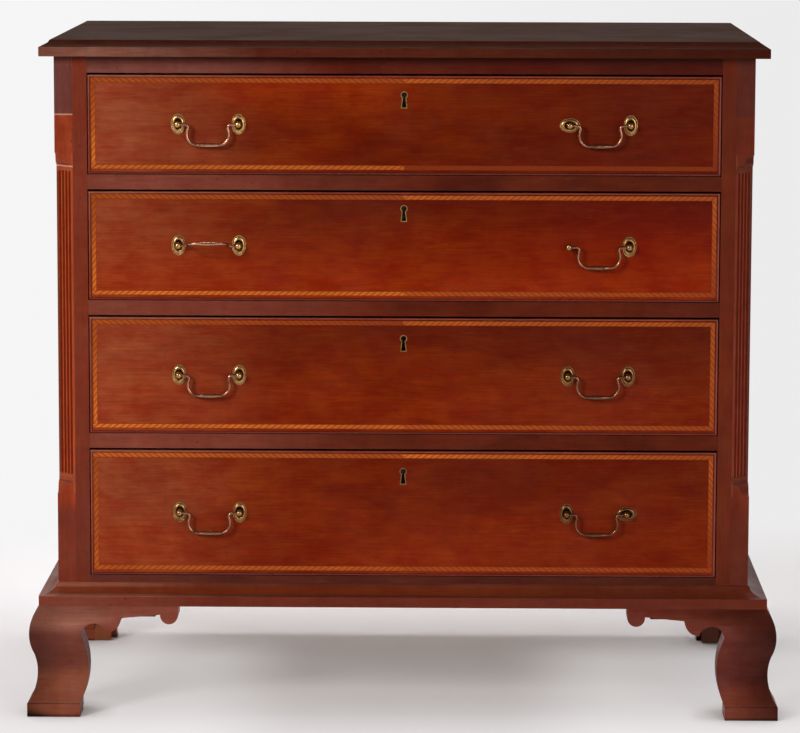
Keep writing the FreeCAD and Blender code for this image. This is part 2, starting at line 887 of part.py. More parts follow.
def brasses(name, z_low, z_high, key_top):
    # posts, rosettes and nuts of both pulls, and the liner of the keyhole
    centre = (z_low + z_high) / 2
    nut_width, nut_thickness = nut_size
    solids = [keyhole_liner(key_top)]
    for side, post, x in post_places():
        pieces = [pull_post(post)]
        if (name, side, post) != missing_rosette:
            pieces.append(rosette())
        if (name, side, post) in loose_rosettes:
            pieces[-1].rotate(origin, along_y, loose_angle)
        for piece in pieces:
            piece.translate(vec(x, 0, centre))
        solids += pieces
        solids.append(box(x - nut_width / 2, x + nut_width / 2, front_back_y,
                          front_back_y + nut_thickness,
                          centre - nut_width / 2, centre + nut_width / 2))
    return solids


def bail_path():
    # centre line of a hanging bail, from the right pin's end to the middle of the grip
    end = pull_spacing / 2 - head_radius + pin_bite - pin_end_gap
    low_leg = bail_leg + bail_splay
    path = [(end, 0.0)]
    turns = [math.pi / 2 * step / bend_steps for step in range(bend_steps + 1)]
    for turn in turns:
        path.append((bail_leg + bail_shoulder * (1 - math.sin(turn)),
                     bail_shoulder * (math.cos(turn) - 1)))
    for turn in turns:
        path.append((low_leg + bail_corner * (math.cos(turn) - 1),
                     bail_corner * (1 - math.sin(turn)) - bail_drop))
    path.append((grip_start, -bail_drop))
    path.append((grip_full, -bail_drop))
    return path


def bail(angle):
    # swan-neck bail about its own axis, hanging at 0 and swung out by the angle
    half = bail_path()
    path = half + [(-x, z) for x, z in reversed(half)]
    points = [vec(x, 0, z) for x, z in path]
    headings = [(end - start).normalize() for start, end in zip(points, points[1:])]
    arriving = [headings[0]] + headings
    leaving = headings + [headings[-1]]
    rings = []
    for point, before, after in zip(points, arriving, leaving):
        # the section is stretched across each mitre, so that its flats run straight
        middle = (before + after).normalize()
        across = along_y.cross(middle) * (1 / middle.dot(before))
        radius = grip_radius if abs(point.x) <= grip_full else pin_radius
        rings.append(ring(point, radius, across, along_y, bail_sides))
    shape = faceted(rings)
    shape.rotate(origin, along_x, -angle)
    return shape


def drawer_bail(name, side, z_low, z_high):
    raised = name == "drawer_2" and side < 0
    shape = bail(raised_angle if raised else 0)
    shape.translate(vec(side * pull_centre, face_y - pull_stand, (z_low + z_high) / 2))
    return [shape]


# ---- everything

def save_case():
    levels = rail_levels()
    save("top_board", top_board())
    side = case_side()
    save("case_side_right", [side])
    save("case_side_left", [mirrored(side)])
    post = corner_post()
    save("corner_post_right", [post])
    save("corner_post_left", [mirrored(post)])
    save("front_stiles", both_sides(front_stile()))
    save("bottom_rail", [front_rail(*levels[0], False)])
    save("drawer_rails", [front_rail(z0, z1, True) for z0, z1 in levels[1:-1]])
    save("top_rail", [front_rail(*levels[-1], True)])
    save("case_bottom", case_bottom())
    save("back_boards", back_boards())
    save("runners_and_kickers", runners_and_kickers())
    save("drawer_guides", drawer_guides())
    save("drawer_stops", drawer_stops())


def save_base():
    front, sides = base_moulding()
    save("base_moulding", [front] + sides)
    facing = front_facing()
    right = [facing, swapped(facing)]
    save("front_foot_right", right)
    save("front_foot_left", [mirrored(shape) for shape in right])
    rear = [rear_side_facing(), rear_inner_bracket()]
    save("rear_foot_right", rear)
    save("rear_foot_left", [mirrored(shape) for shape in rear])
    save("foot_blocks", foot_blocks())


def save_drawer(name, z_low, z_high):
    key_top = z_high - keyhole_drops[name]
    save(f"{name}_front", drawer_front(z_low, z_high, key_top))
    save(f"{name}_cock_bead", cock_bead(z_low, z_high))
    save(f"{name}_inlay", inlay_strips(z_low, z_high))
    save(f"{name}_box", drawer_box(z_low, z_high))
    save(f"{name}_bottom", drawer_bottom(z_low))
    save(f"{name}_lock", drawer_lock(z_high))
    save(f"{name}_lock_bolt", lock_bolt(z_high))
    save(f"{name}_brasses", brasses(name, z_low, z_high, key_top))
    save(f"{name}_bail_left", drawer_bail(name, -1, z_low, z_high))
    save(f"{name}_bail_right", drawer_bail(name, 1, z_low, z_high))


os.makedirs("parts", exist_ok=True)
save_case()
save_base()
for drawer_name, (low, high) in zip(drawer_names, opening_levels()):
    save_drawer(drawer_name, low, high)
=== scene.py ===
import math

import bmesh
import bpy
from mathutils import Matrix, Vector


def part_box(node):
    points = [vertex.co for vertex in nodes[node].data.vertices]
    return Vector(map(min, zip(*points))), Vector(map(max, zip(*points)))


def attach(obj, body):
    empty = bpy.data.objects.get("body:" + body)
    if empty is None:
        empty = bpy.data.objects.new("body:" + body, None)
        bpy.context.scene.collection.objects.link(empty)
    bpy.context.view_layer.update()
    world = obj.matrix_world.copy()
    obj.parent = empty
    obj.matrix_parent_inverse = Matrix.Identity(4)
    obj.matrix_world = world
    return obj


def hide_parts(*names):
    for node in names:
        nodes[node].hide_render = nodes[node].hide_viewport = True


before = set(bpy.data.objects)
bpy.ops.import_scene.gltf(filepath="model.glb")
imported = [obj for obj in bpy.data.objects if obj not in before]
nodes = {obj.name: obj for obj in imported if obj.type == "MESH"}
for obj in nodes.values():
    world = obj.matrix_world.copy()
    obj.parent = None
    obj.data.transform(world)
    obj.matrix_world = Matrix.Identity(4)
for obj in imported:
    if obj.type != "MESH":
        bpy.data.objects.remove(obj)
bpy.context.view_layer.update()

print("solids loaded:", len(nodes))


def tone(red, green, blue):
    # a colour as it should look on screen, 0 to 255
    def linear(value):
        value /= 255
        return value / 12.92 if value <= 0.04045 else ((value + 0.055) / 1.055) ** 2.4
    return (linear(red), linear(green), linear(blue), 1.0)


def feed(tree, node, inputs):
    # each input gets a link or a plain value
    for key, value in inputs.items():
        socket = node.inputs[key]
        if isinstance(value, bpy.types.NodeSocket):
            tree.links.new(value, socket)
        else:
            socket.default_value = value


def addNode(tree, kind, inputs=None, **settings):
    node = tree.nodes.new(kind)
    for name, value in settings.items():
        setattr(node, name, value)
    feed(tree, node, inputs or {})
    return node


def calc(tree, operation, first, second=0.0, clamp=False):
    node = addNode(tree, "ShaderNodeMath", {0: first, 1: second}, operation=operation)
    node.use_clamp = clamp
    return node.outputs[0]


def times(tree, first, second, clamp=False):
    return calc(tree, "MULTIPLY", first, second, clamp)


def remap(tree, value, low, high, toLow=0.0, toHigh=1.0, smooth=True):
    kind = "SMOOTHSTEP" if smooth else "LINEAR"
    node = addNode(tree, "ShaderNodeMapRange",
                   {"Value": value, "From Min": low, "From Max": high, "To Min": toLow,
                    "To Max": toHigh}, interpolation_type=kind)
    return node.outputs["Result"]


def spread(tree, value, low, high):
    return remap(tree, value, 0.0, 1.0, low, high, False)


def blendColour(tree, factor, first, second, kind="MIX"):
    node = addNode(tree, "ShaderNodeMix", data_type="RGBA", blend_type=kind)
    feed(tree, node, {0: factor, 6: first, 7: second})
    return node.outputs[2]


def vectorCalc(tree, operation, first, second):
    return addNode(tree, "ShaderNodeVectorMath", {0: first, 1: second},
                   operation=operation).outputs[0]


def stretched(tree, vector, x, y, z):
    return vectorCalc(tree, "MULTIPLY", vector, (x, y, z))


def split(tree, vector):
    return addNode(tree, "ShaderNodeSeparateXYZ", {0: vector}).outputs


def objectPlace(tree):
    return addNode(tree, "ShaderNodeTexCoord").outputs["Object"]


def mixShaders(tree, share, first, second):
    return addNode(tree, "ShaderNodeMixShader", {0: share, 1: first, 2: second}).outputs[0]


def noise(tree, vector, scale, detail=3.0, roughness=0.55, distortion=0.0, seed=0.0):
    node = addNode(tree, "ShaderNodeTexNoise",
                   {"Vector": vector, "W": seed, "Scale": scale, "Detail": detail,
                    "Roughness": roughness, "Distortion": distortion},
                   noise_dimensions="4D")
    return node.outputs["Fac"]


def newGroup(name, inputs, outputs):
    # a shader group fed with a vector and the named numbers
    tree = bpy.data.node_groups.new(name, "ShaderNodeTree")
    tree.interface.new_socket("Vector", in_out="INPUT", socket_type="NodeSocketVector")
    for label, value in inputs.items():
        socket = tree.interface.new_socket(label, in_out="INPUT", socket_type="NodeSocketFloat")
        socket.default_value = value
    for label in outputs:
        tree.interface.new_socket(label, in_out="OUTPUT", socket_type="NodeSocketFloat")
    start = tree.nodes.new("NodeGroupInput")
    end = tree.nodes.new("NodeGroupOutput")
    return tree, start.outputs, end.inputs


def useGroup(tree, group, inputs):
    node = tree.nodes.new("ShaderNodeGroup")
    node.node_tree = group
    feed(tree, node, inputs)
    return node.outputs


def newMaterial(name):
    material = bpy.data.materials.new(name)
    material.use_nodes = True
    tree = material.node_tree
    tree.nodes.clear()
    shader = tree.nodes.new("ShaderNodeBsdfPrincipled")
    output = tree.nodes.new("ShaderNodeOutputMaterial")
    tree.links.new(shader.outputs[0], output.inputs[0])
    return material, tree, shader


def makeBoardGrain():
    # X of the vector runs along the board; widths are in metres
    tree, given, result = newGroup(
        "boardGrain", {"Line Width": 0.0016, "Cloud Size": 0.07, "Seed": 0.0},
        ("Clouds", "Lines", "Pores", "Curl", "Patches"))
    perLine = calc(tree, "DIVIDE", 1.0, given["Line Width"])
    perCloud = calc(tree, "DIVIDE", 1.0, given["Cloud Size"])
    seed = given["Seed"]
    wander = noise(tree, stretched(tree, given["Vector"], 0.5, 1, 1), 9.0, 2.0, seed=seed)
    bent = vectorCalc(tree, "ADD", given["Vector"], stretched(tree, wander, 0.0, 0.012, 0.012))
    clouds = noise(tree, stretched(tree, bent, 0.35, 1, 1), perCloud, 3.0, 0.6, 0.6, seed)
    lines = noise(tree, stretched(tree, bent, 0.035, 1, 1), perLine, 4.0, 0.7, 0.2, seed)
    fine = noise(tree, stretched(tree, bent, 0.09, 1.6, 1.6), perLine, 2.0, 0.5, 0.0, seed)
    curl = noise(tree, stretched(tree, bent, 1.0, 0.22, 0.22), 75.0, 2.0, 0.5, 0.5, seed)
    patches = noise(tree, stretched(tree, bent, 0.45, 1, 1),
                    times(tree, perCloud, 3.5), 3.0, 0.6, 0.3, seed)
    for label, value, low, high in (("Clouds", clouds, 0.3, 0.7), ("Lines", lines, 0.28, 0.72),
                                    ("Pores", fine, 0.6, 0.74), ("Curl", curl, 0.3, 0.7),
                                    ("Patches", patches, 0.3, 0.7)):
        tree.links.new(remap(tree, value, low, high), result[label])
    return tree


def makeOldPolish():
    # handling marks in an old finish: cloudy bloom, fine scratches and small dents
    tree, given, result = newGroup("oldPolish", {"Seed": 0.0}, ("Bloom", "Scratches", "Dents"))
    vector, seed = given["Vector"], given["Seed"]
    bloom = noise(tree, vector, 7.0, 5.0, 0.62, 0.4, seed)
    long = noise(tree, stretched(tree, vector, 0.06, 1, 1), 900.0, 1.0, 0.5, 0.0, seed)
    patches = noise(tree, vector, 16.0, 2.0, 0.5, 0.0, seed)
    scratches = times(tree, remap(tree, long, 0.62, 0.7), remap(tree, patches, 0.5, 0.66))
    cells = addNode(tree, "ShaderNodeTexVoronoi",
                    {"Vector": vector, "Scale": 42.0, "Randomness": 1.0})
    dents = remap(tree, cells.outputs["Distance"], 0.03, 0.12, 1.0, 0.0)
    tree.links.new(remap(tree, bloom, 0.35, 0.72), result["Bloom"])
    tree.links.new(scratches, result["Scratches"])
    tree.links.new(dents, result["Dents"])
    return tree


def makeTarnish():
    # brown film that old brass gathers, with rubbed places between
    tree, given, result = newGroup("tarnish", {"Size": 0.006, "Amount": 0.5}, ("Film", "Pits"))
    per = calc(tree, "DIVIDE", 1.0, given["Size"])
    film = noise(tree, given["Vector"], per, 4.0, 0.65, 0.5)
    high = calc(tree, "SUBTRACT", 0.95, times(tree, given["Amount"], 0.5))
    low = calc(tree, "SUBTRACT", high, 0.35)
    pits = noise(tree, given["Vector"], times(tree, per, 9.0), 2.0, 0.5)
    tree.links.new(remap(tree, film, low, high), result["Film"])
    tree.links.new(remap(tree, pits, 0.55, 0.75), result["Pits"])
    return tree


def makeTwist():
    # strands of a rope inlay: X of the vector runs along the band and Y across it, in metres
    tree, given, result = newGroup(
        "twistStrands", {"Pitch": 0.0085, "Lean": 1.0, "Width": 0.006}, ("Strand", "Edge"))
    parts = split(tree, given["Vector"])
    jitter = noise(tree, given["Vector"], 160.0, 1.0)
    shift = times(tree, parts["Y"], given["Lean"])
    along = calc(tree, "SUBTRACT", parts["X"], shift)
    along = calc(tree, "ADD", along, times(tree, jitter, 0.0012))
    phase = calc(tree, "FRACT", calc(tree, "DIVIDE", along, given["Pitch"]))
    ridge = calc(tree, "ABSOLUTE", calc(tree, "SUBTRACT", phase, 0.5))
    strand = remap(tree, ridge, 0.24, 0.42)
    across = calc(tree, "DIVIDE", parts["Y"], given["Width"])
    across = calc(tree, "ABSOLUTE", calc(tree, "SUBTRACT", across, 0.5))
    tree.links.new(strand, result["Strand"])
    tree.links.new(remap(tree, across, 0.34, 0.44), result["Edge"])
    return tree


boardGrain = makeBoardGrain()
oldPolish = makeOldPolish()
tarnish = makeTarnish()
twistStrands = makeTwist()
print("shared effects ready")

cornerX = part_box("corner_post_right")[1].x
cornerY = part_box("top_rail")[0].y
cant = 0.024                    # how far the canted face runs along each side of the corner
faceIn = cant * math.sqrt(0.5)  # depth of that face below the square corner


def alongBoard(tree, axis, offset):
    # object coordinates with the board's length turned to X
    place = objectPlace(tree)
    moved = vectorCalc(tree, "ADD", place, offset)
    if axis == "X":
        return place, moved
    parts = split(tree, moved)
    order = {"Y": "YXZ", "Z": "ZYX"}[axis]
    turned = addNode(tree, "ShaderNodeCombineXYZ",
                     {index: parts[letter] for index, letter in enumerate(order)})
    return place, turned.outputs[0]


def inwards(tree, place):
    # how far in from the square corner a point of a corner post lies, square to the cant
    parts = split(tree, place)
    outer = calc(tree, "SUBTRACT", cornerX, calc(tree, "ABSOLUTE", parts["X"]))
    back = calc(tree, "SUBTRACT", parts["Y"], cornerY)
    return times(tree, calc(tree, "ADD", outer, back), math.sqrt(0.5))


def makeWood(name, look, axis, offset, seed):
    material, tree, shader = newMaterial(name)
    place, board = alongBoard(tree, axis, offset)
    grain = useGroup(tree, boardGrain, {"Vector": board, "Line Width": look["lineWidth"],
                                        "Cloud Size": look["cloudSize"], "Seed": seed})
    polish = useGroup(tree, oldPolish, {"Vector": board, "Seed": seed + 3.0})
    colour = blendColour(tree, grain["Clouds"], look["dark"], look["light"])
    for shade in look.get("shades", []):
        # a slow change of colour over the piece: ramps of (axis, from, to), colour, strength
        *ramps, tint, strength = shade
        share = spread(tree, polish["Bloom"], 0.85 * strength, 1.1 * strength)
        for letter, low, high in ramps:
            if letter == "in":
                measure = inwards(tree, place)
            else:
                measure = split(tree, place)[letter]
            share = times(tree, share, remap(tree, measure, low, high), True)
        colour = blendColour(tree, share, colour, tint)
    # redder and yellower patches, then the lines and the curl of the grain
    hue = blendColour(tree, grain["Patches"], look["redder"], look["yellower"])
    mottled = blendColour(tree, 1.0, colour, hue, "MULTIPLY")
    colour = blendColour(tree, look["mottle"], colour, mottled)
    for mask, amount in (("Lines", look["lines"]), ("Curl", look["curl"])):
        light = spread(tree, grain[mask], 1.0 - amount, 1.0 + amount)
        colour = blendColour(tree, 1.0, colour, light, "MULTIPLY")
    colour = blendColour(tree, times(tree, grain["Pores"], look["pores"]), colour, look["pore"])
    colour = blendColour(tree, times(tree, polish["Bloom"], look["bloom"]), colour,
                         look["bloomColour"])
    # faces that look up turn greyer and lose their polish: dust on the ledges, a greyer top, and
    # painted shade on the upper edges of the drawer fronts and beads, for the dark of the gaps
    facing = addNode(tree, "ShaderNodeNewGeometry").outputs["Normal"]
    upward = split(tree, facing)["Z"]
    dustAndShadeShare = times(tree, remap(tree, upward, 0.75, 0.98), look["dust"])
    dustAndShadeShare = times(tree, dustAndShadeShare, spread(tree, polish["Bloom"], 0.85, 1.1), True)
    dustAndShadeTone = blendColour(tree, grain["Lines"], look["dustDark"], look["dustLight"])
    colour = blendColour(tree, dustAndShadeShare, colour, dustAndShadeTone)
    colour = blendColour(tree, times(tree, polish["Scratches"], look["scratches"]),
                         colour, look["scratch"])
    colour = blendColour(tree, times(tree, polish["Dents"], look["dents"]), colour, look["pore"])
    height = calc(tree, "ADD", times(tree, grain["Lines"], 0.5), times(tree, grain["Curl"], 0.6))
    height = calc(tree, "SUBTRACT", height, times(tree, polish["Dents"], 1.5))
    height = calc(tree, "SUBTRACT", height, times(tree, polish["Scratches"], 0.6))
    bump = addNode(tree, "ShaderNodeBump", {"Strength": look["relief"], "Distance": 0.0004,
                                            "Height": height})
    feed(tree, shader, {"Base Color": colour, "Specular IOR Level": look["gloss"],
                        "Roughness": spread(tree, polish["Bloom"], *look["roughness"]),
                        "Normal": bump.outputs[0]})
    return material


commonLook = {
    "lineWidth": 0.0016, "cloudSize": 0.075, "lines": 0.12, "curl": 0.06, "pores": 0.35,
    "pore": tone(34, 10, 4), "bloom": 0.02, "bloomColour": tone(150, 110, 96),
    "scratches": 0.10, "scratch": tone(150, 92, 70), "dents": 0.35, "roughness": (0.34, 0.5),
    "gloss": 0.06, "relief": 0.25, "dust": 0.5, "dustDark": tone(84, 52, 42),
    "dustLight": tone(112, 80, 68), "mottle": 1.0, "redder": (0.98, 0.84, 0.8, 1.0),
    "yellower": (1.04, 1.14, 1.1, 1.0),
}


def look(**changes):
    return dict(commonLook, **changes)


# the top: its edge painted paler at the left end and darker in the middle and at the right, as
# the light falls from the left, with a painted shade in the cove; its face looking up is
# grey-brown
topLook = look(
    dark=tone(112, 68, 56), light=tone(130, 86, 72), lines=0.2, curl=0.05, roughness=(0.6, 0.8),
    gloss=0.01, cloudSize=0.05, dust=0.95, dustDark=tone(33, 20, 14), dustLight=tone(57, 37, 29),
    shades=[
        (("X", -0.44, -0.12), tone(80, 33, 21), 1.25), (("X", 0.0, 0.4), tone(66, 26, 16), 1.1),
        (("Z", 0.8925, 0.8945), tone(48, 17, 8), 1.2)])
# drawer rails: painted light, paler towards the left end
railLook = look(
    dark=tone(72, 21, 7), light=tone(92, 32, 13), cloudSize=0.05,
    shades=[(("X", 0.05, -0.37), tone(122, 60, 46), 0.95)])
# top rail: painted light paler at the left end and darker at the right, and a painted shadow of
# the top's overhang along its upper edge
topRailLook = look(
    dark=tone(76, 20, 8), light=tone(94, 30, 12), cloudSize=0.05,
    shades=[
        (("X", -0.06, -0.34), tone(124, 72, 64), 0.9), (("X", 0.05, 0.4), tone(66, 12, 4), 0.8),
        (("Z", 0.860, 0.876), tone(50, 12, 5), 0.55)])
# bottom rail: painted light, paler at the left end and darker at the right
bottomRailLook = look(
    dark=tone(68, 25, 15), light=tone(86, 36, 24), cloudSize=0.05,
    shades=[
        (("X", -0.2, -0.4), tone(98, 46, 36), 0.7), (("X", 0.1, 0.35), tone(70, 26, 12), 0.6)])
# stiles: the left ones painted paler by the light from the left, and darker towards the bottom
stileLook = look(
    dark=tone(88, 29, 13), light=tone(104, 39, 17), cloudSize=0.05,
    shades=[
        (("X", -0.3, -0.42), tone(126, 52, 34), 0.6),
        (("X", -0.3, -0.42), ("Z", 0.5, 0.2), tone(98, 42, 30), 0.7)])
cantEdge = ("Y", cornerY + cant + 0.0004, cornerY + cant - 0.0002)
fluteEnds = (("Z", 0.3205, 0.3235), ("Z", 0.7285, 0.7255))
# painted shade deep in the flutes, and painted light on the cant and the edges of its flutes
fluteGroovesPaintedShade = (("in", faceIn + 0.0001, faceIn + 0.0009), cantEdge, *fluteEnds)
fluteEdgesPaintedLight = (("in", faceIn + 0.0006, faceIn + 0.0001), ("in", faceIn - 0.0005, faceIn - 0.0001),
              cantEdge, *fluteEnds)
cantPaintedLight = (("in", faceIn + 0.0006, faceIn + 0.0001), ("in", faceIn - 0.0019, faceIn - 0.0011),
              cantEdge, ("Z", 0.296, 0.2965), ("Z", 0.7525, 0.752))
postJoint = (("Z", 0.8018, 0.8024), ("Z", 0.8044, 0.8038))
# painted highlight along the fillet above the flutes
filletPaintedHighlight = (("Z", 0.7326, 0.7334), ("Z", 0.7354, 0.7346), cantEdge)
# left corner post: painted paler than the right one, as the light falls from the left
postLeftLook = look(
    dark=tone(128, 44, 22), light=tone(154, 64, 34), cloudSize=0.04,
    shades=[
        (*cantPaintedLight, tone(156, 74, 46), 0.8), (*fluteEdgesPaintedLight, tone(162, 66, 30), 0.9),
        (("X", -0.4570, -0.4585), cantEdge, *fluteEnds, tone(104, 44, 24), 0.85),
        (*fluteGroovesPaintedShade, tone(112, 31, 4), 1.0), (*filletPaintedHighlight, tone(214, 150, 122), 0.8),
        (("Z", 0.8018, 0.8028), tone(98, 54, 48), 1.0), (*postJoint, tone(196, 140, 120), 0.8),
        (("Z", 0.29, 0.27), tone(108, 44, 30), 0.9)])
postRightLook = look(
    dark=tone(94, 34, 18), light=tone(112, 44, 25), cloudSize=0.04,
    shades=[
        (*cantPaintedLight, tone(122, 60, 42), 0.7), (*fluteEdgesPaintedLight, tone(146, 62, 40), 0.9),
        (("X", 0.4570, 0.4585), cantEdge, *fluteEnds, tone(92, 58, 52), 0.7),
        (*fluteGroovesPaintedShade, tone(112, 36, 17), 1.0), (("Z", 0.8018, 0.8028), tone(82, 35, 27), 0.9),
        (("Z", 0.29, 0.24), tone(90, 39, 27), 0.9)])
# base moulding: painted light paler at the left end, painted shade in the hollow and more of it
# at the right, the fascia paler at the left, and a painted highlight along the fillet at its top
# on the left
baseLook = look(
    dark=tone(82, 31, 17), light=tone(98, 42, 25), cloudSize=0.06, dust=0.1,
    shades=[
        (("X", -0.2, -0.45), tone(140, 78, 58), 0.85),
        (("Z", 0.1715, 0.1690), ("Z", 0.1622, 0.1632), tone(106, 38, 9), 0.85),
        (("X", 0.05, 0.35), ("Z", 0.1622, 0.1632), tone(80, 28, 14), 0.6),
        (("Z", 0.1622, 0.1612), tone(98, 38, 25), 0.9),
        (("Z", 0.1622, 0.1612), ("X", 0.1, 0.35), tone(94, 37, 24), 0.9),
        (("Z", 0.1622, 0.1612), ("X", -0.25, -0.44), tone(116, 56, 42), 0.9),
        (("Z", 0.1622, 0.1617), ("Z", 0.1606, 0.1610), ("X", -0.15, -0.4),
         tone(170, 110, 92), 0.4)])
padLine = (("Z", 0.0168, 0.0174), ("Z", 0.0190, 0.0182), tone(54, 20, 10), 0.7)
# painted shade along the lowest few millimetres of each pad, at the floor
padFootPaintedShade = (("Z", 0.0045, 0.0015), tone(58, 25, 14), 0.75)
# painted light: the ankle paler, the top under the fascia paler to lift the fascia's shadow, and
# paler still at the left end
footLook = look(
    dark=tone(78, 33, 25), light=tone(104, 47, 36), cloudSize=0.05, bloom=0.1, dust=0.15,
    shades=[
        (("Z", 0.075, 0.05), tone(134, 70, 47), 0.75),
        (("Z", 0.110, 0.130), tone(128, 66, 51), 0.8),
        (("Z", 0.105, 0.130), ("X", -0.38, -0.45), tone(152, 98, 82), 0.55), padLine, padFootPaintedShade])
# painted light on the right feet: the ankle and the top under the fascia paler
footRightLook = look(
    dark=tone(84, 33, 26), light=tone(108, 47, 37), cloudSize=0.05, bloom=0.1, dust=0.15,
    shades=[
        (("Z", 0.06, 0.02), tone(122, 58, 40), 0.7),
        (("Z", 0.112, 0.132), tone(106, 46, 32), 0.7), padLine, padFootPaintedShade])
# painted shade: the rear right foot, seen under the chest, is dark, its outer face keeps a
# foot's tone
rearRightPaintedShadeLook = look(
    dark=tone(42, 18, 11), light=tone(58, 27, 17), cloudSize=0.05, dust=0.15,
    shades=[(("X", 0.468, 0.480), tone(90, 38, 29), 1.0)])
sideLook = look(dark=tone(84, 32, 22), light=tone(112, 48, 32), cloudSize=0.06)
plainLook = look(
    dark=tone(132, 98, 64), light=tone(176, 140, 98), lines=0.16, curl=0.0, pores=0.2,
    pore=tone(90, 60, 36), bloom=0.3, bloomColour=tone(120, 92, 66), scratches=0.2,
    scratch=tone(190, 160, 120), roughness=(0.65, 0.85), gloss=0.2, lineWidth=0.003)
backShades = []
backLow, backHigh = (corner.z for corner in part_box("back_boards"))
for board, tint in ((1, tone(164, 126, 86)), (2, tone(96, 66, 42)), (3, tone(164, 126, 86))):
    # the joints between the four back boards, and a darker or paler board above each
    joint = backLow + (backHigh - backLow) * board / 4
    backShades += [(("Z", joint - 0.001, joint), tint, 0.35),
                   (("Z", joint - 0.0012, joint - 0.0006), ("Z", joint + 0.0012, joint + 0.0006),
                    tone(44, 28, 18), 0.9)]
backLook = dict(plainLook, shades=backShades)
# foot blocks: painted shade makes those on the right darker
blockLook = look(
    dark=tone(104, 52, 28), light=tone(134, 70, 38), lines=0.14, pores=0.2, bloom=0.15,
    roughness=(0.6, 0.8), lineWidth=0.0025,
    shades=[(("X", 0.0, 0.2), tone(76, 36, 20), 0.9)])
# painted shade: the edge of a drawer front or bead that faces up is made nearly black, for the
# dark of the gap above it
gapPaintedShade = {"dust": 0.9, "dustDark": tone(34, 11, 5), "dustLight": tone(52, 18, 9)}
frontLook = look(
    dark=tone(90, 21, 1), light=tone(112, 33, 2), cloudSize=0.06, lineWidth=0.002, lines=0.17,
    curl=0.025, pores=0.25, dents=0.1, gloss=0.045, redder=(0.92, 0.66, 0.62, 1.0),
    yellower=(1.10, 1.34, 1.3, 1.0), **gapPaintedShade)
# left is the colour of a painted sheen at a front's left end
frontTints = {"left": tone(152, 71, 42), "glow": tone(146, 41, 6), "top": tone(74, 12, 3),
              "flame": tone(146, 45, 4)}


def dress(node, material):
    nodes[node].data.materials.clear()
    nodes[node].data.materials.append(material)


dressing = {
    # piece: look, direction of the boards
    "top_board": (topLook, "X"), "case_side_left": (sideLook, "Z"),
    "case_side_right": (sideLook, "Z"), "corner_post_left": (postLeftLook, "Z"),
    "corner_post_right": (postRightLook, "Z"), "front_stiles": (stileLook, "Z"),
    "bottom_rail": (bottomRailLook, "X"), "drawer_rails": (railLook, "X"),
    "top_rail": (topRailLook, "X"), "case_bottom": (plainLook, "X"),
    "back_boards": (backLook, "X"), "runners_and_kickers": (plainLook, "Y"),
    "drawer_guides": (plainLook, "Y"), "drawer_stops": (plainLook, "X"),
    "base_moulding": (baseLook, "X"), "front_foot_left": (footLook, "X"),
    "front_foot_right": (footRightLook, "X"), "rear_foot_left": (footLook, "X"),
    "rear_foot_right": (rearRightPaintedShadeLook, "X"), "foot_blocks": (blockLook, "Z"),
}
for index, (node, (woodLook, axis)) in enumerate(dressing.items()):
    slide = (0.37 * index, 0.19 * index, 0.11 * index)
    dress(node, makeWood("wood_" + node, woodLook, axis, slide, index * 1.7))
print("case wood ready")

drawers = {
    # strengths of the tints. glow: the front paler towards its lower edge, left: a painted sheen
    # of the light at its left end, right: painted shade at its right end, shade: a darker upper
    # half, flame: a bright figure in the wood at the upper left
    1: {"glow": 0.0, "left": 0.68, "right": 0.8, "rightPaintedShade": tone(88, 21, 5), "shade": 0.0,
        "flame": 0.75},
    2: {"glow": 0.7, "left": 0.64, "right": 0.65, "rightPaintedShade": tone(114, 20, 4), "shade": 0.72,
        "flame": 0.0},
    3: {"glow": 0.3, "left": 0.72, "right": 0.75, "rightPaintedShade": tone(94, 28, 7), "shade": 0.55,
        "flame": 0.0},
    4: {"glow": 0.3, "left": 0.6, "right": 0.2, "rightPaintedShade": tone(104, 33, 12), "shade": 0.4,
        "flame": 0.0},
}


def beadLook(low, high):
    # painted highlights where the light falls along the upper left and on the right end, painted
    # shade dull and red along the lower bead
    return look(dark=tone(112, 42, 26), light=tone(132, 56, 36), cloudSize=0.03, gloss=0.3,
                roughness=(0.24, 0.36), relief=0.1, **gapPaintedShade,
                shades=[(("X", -0.10, -0.36), ("Z", high.z - 0.004, high.z - 0.002),
                         tone(152, 92, 72), 0.65),
                        (("X", -0.4135, -0.4145), ("Z", low.z, high.z), tone(146, 82, 62), 0.5),
                        (("X", 0.4135, 0.4145), tone(122, 62, 60), 0.6),
                        (("Z", low.z + 0.004, low.z + 0.002), tone(92, 26, 18), 0.8)])


for number, facts in drawers.items():
    low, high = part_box(f"drawer_{number}_front")
    # painted sheen at the left end and painted shade at the right end, as the light falls from
    # the left
    frontWood = dict(frontLook, shades=[
        (("X", -0.12, -0.42), frontTints["left"], facts["left"]),
        (("X", 0.0, 0.34), facts["rightPaintedShade"], facts["right"]),
        (("Z", high.z - 0.02, low.z), frontTints["glow"], facts["glow"]),
        (("Z", (low.z + high.z) / 2, high.z), ("X", -0.2, -0.02), frontTints["top"],
         facts["shade"]),
        (("Z", low.z + 0.05, high.z), ("X", -0.32, -0.18), ("X", 0.06, -0.06),
         frontTints["flame"], facts["flame"])])
    seed = 20.0 + 2.3 * number
    front = makeWood(f"wood_front_{number}", frontWood, "X", (0.0, 0.0, 0.3 * number), seed)
    bead = makeWood(f"wood_bead_{number}", beadLook(low, high), "X", (0.0, 0.0, 0.2 * number),
                    seed)
    boxWood = makeWood(f"wood_box_{number}", plainLook, "Y", (0.2 * number, 0.0, 0.0), seed)
    for part, material in (("front", front), ("cock_bead", bead), ("box", boxWood),
                           ("bottom", boxWood)):
        dress(f"drawer_{number}_{part}", material)
print("drawer wood ready")

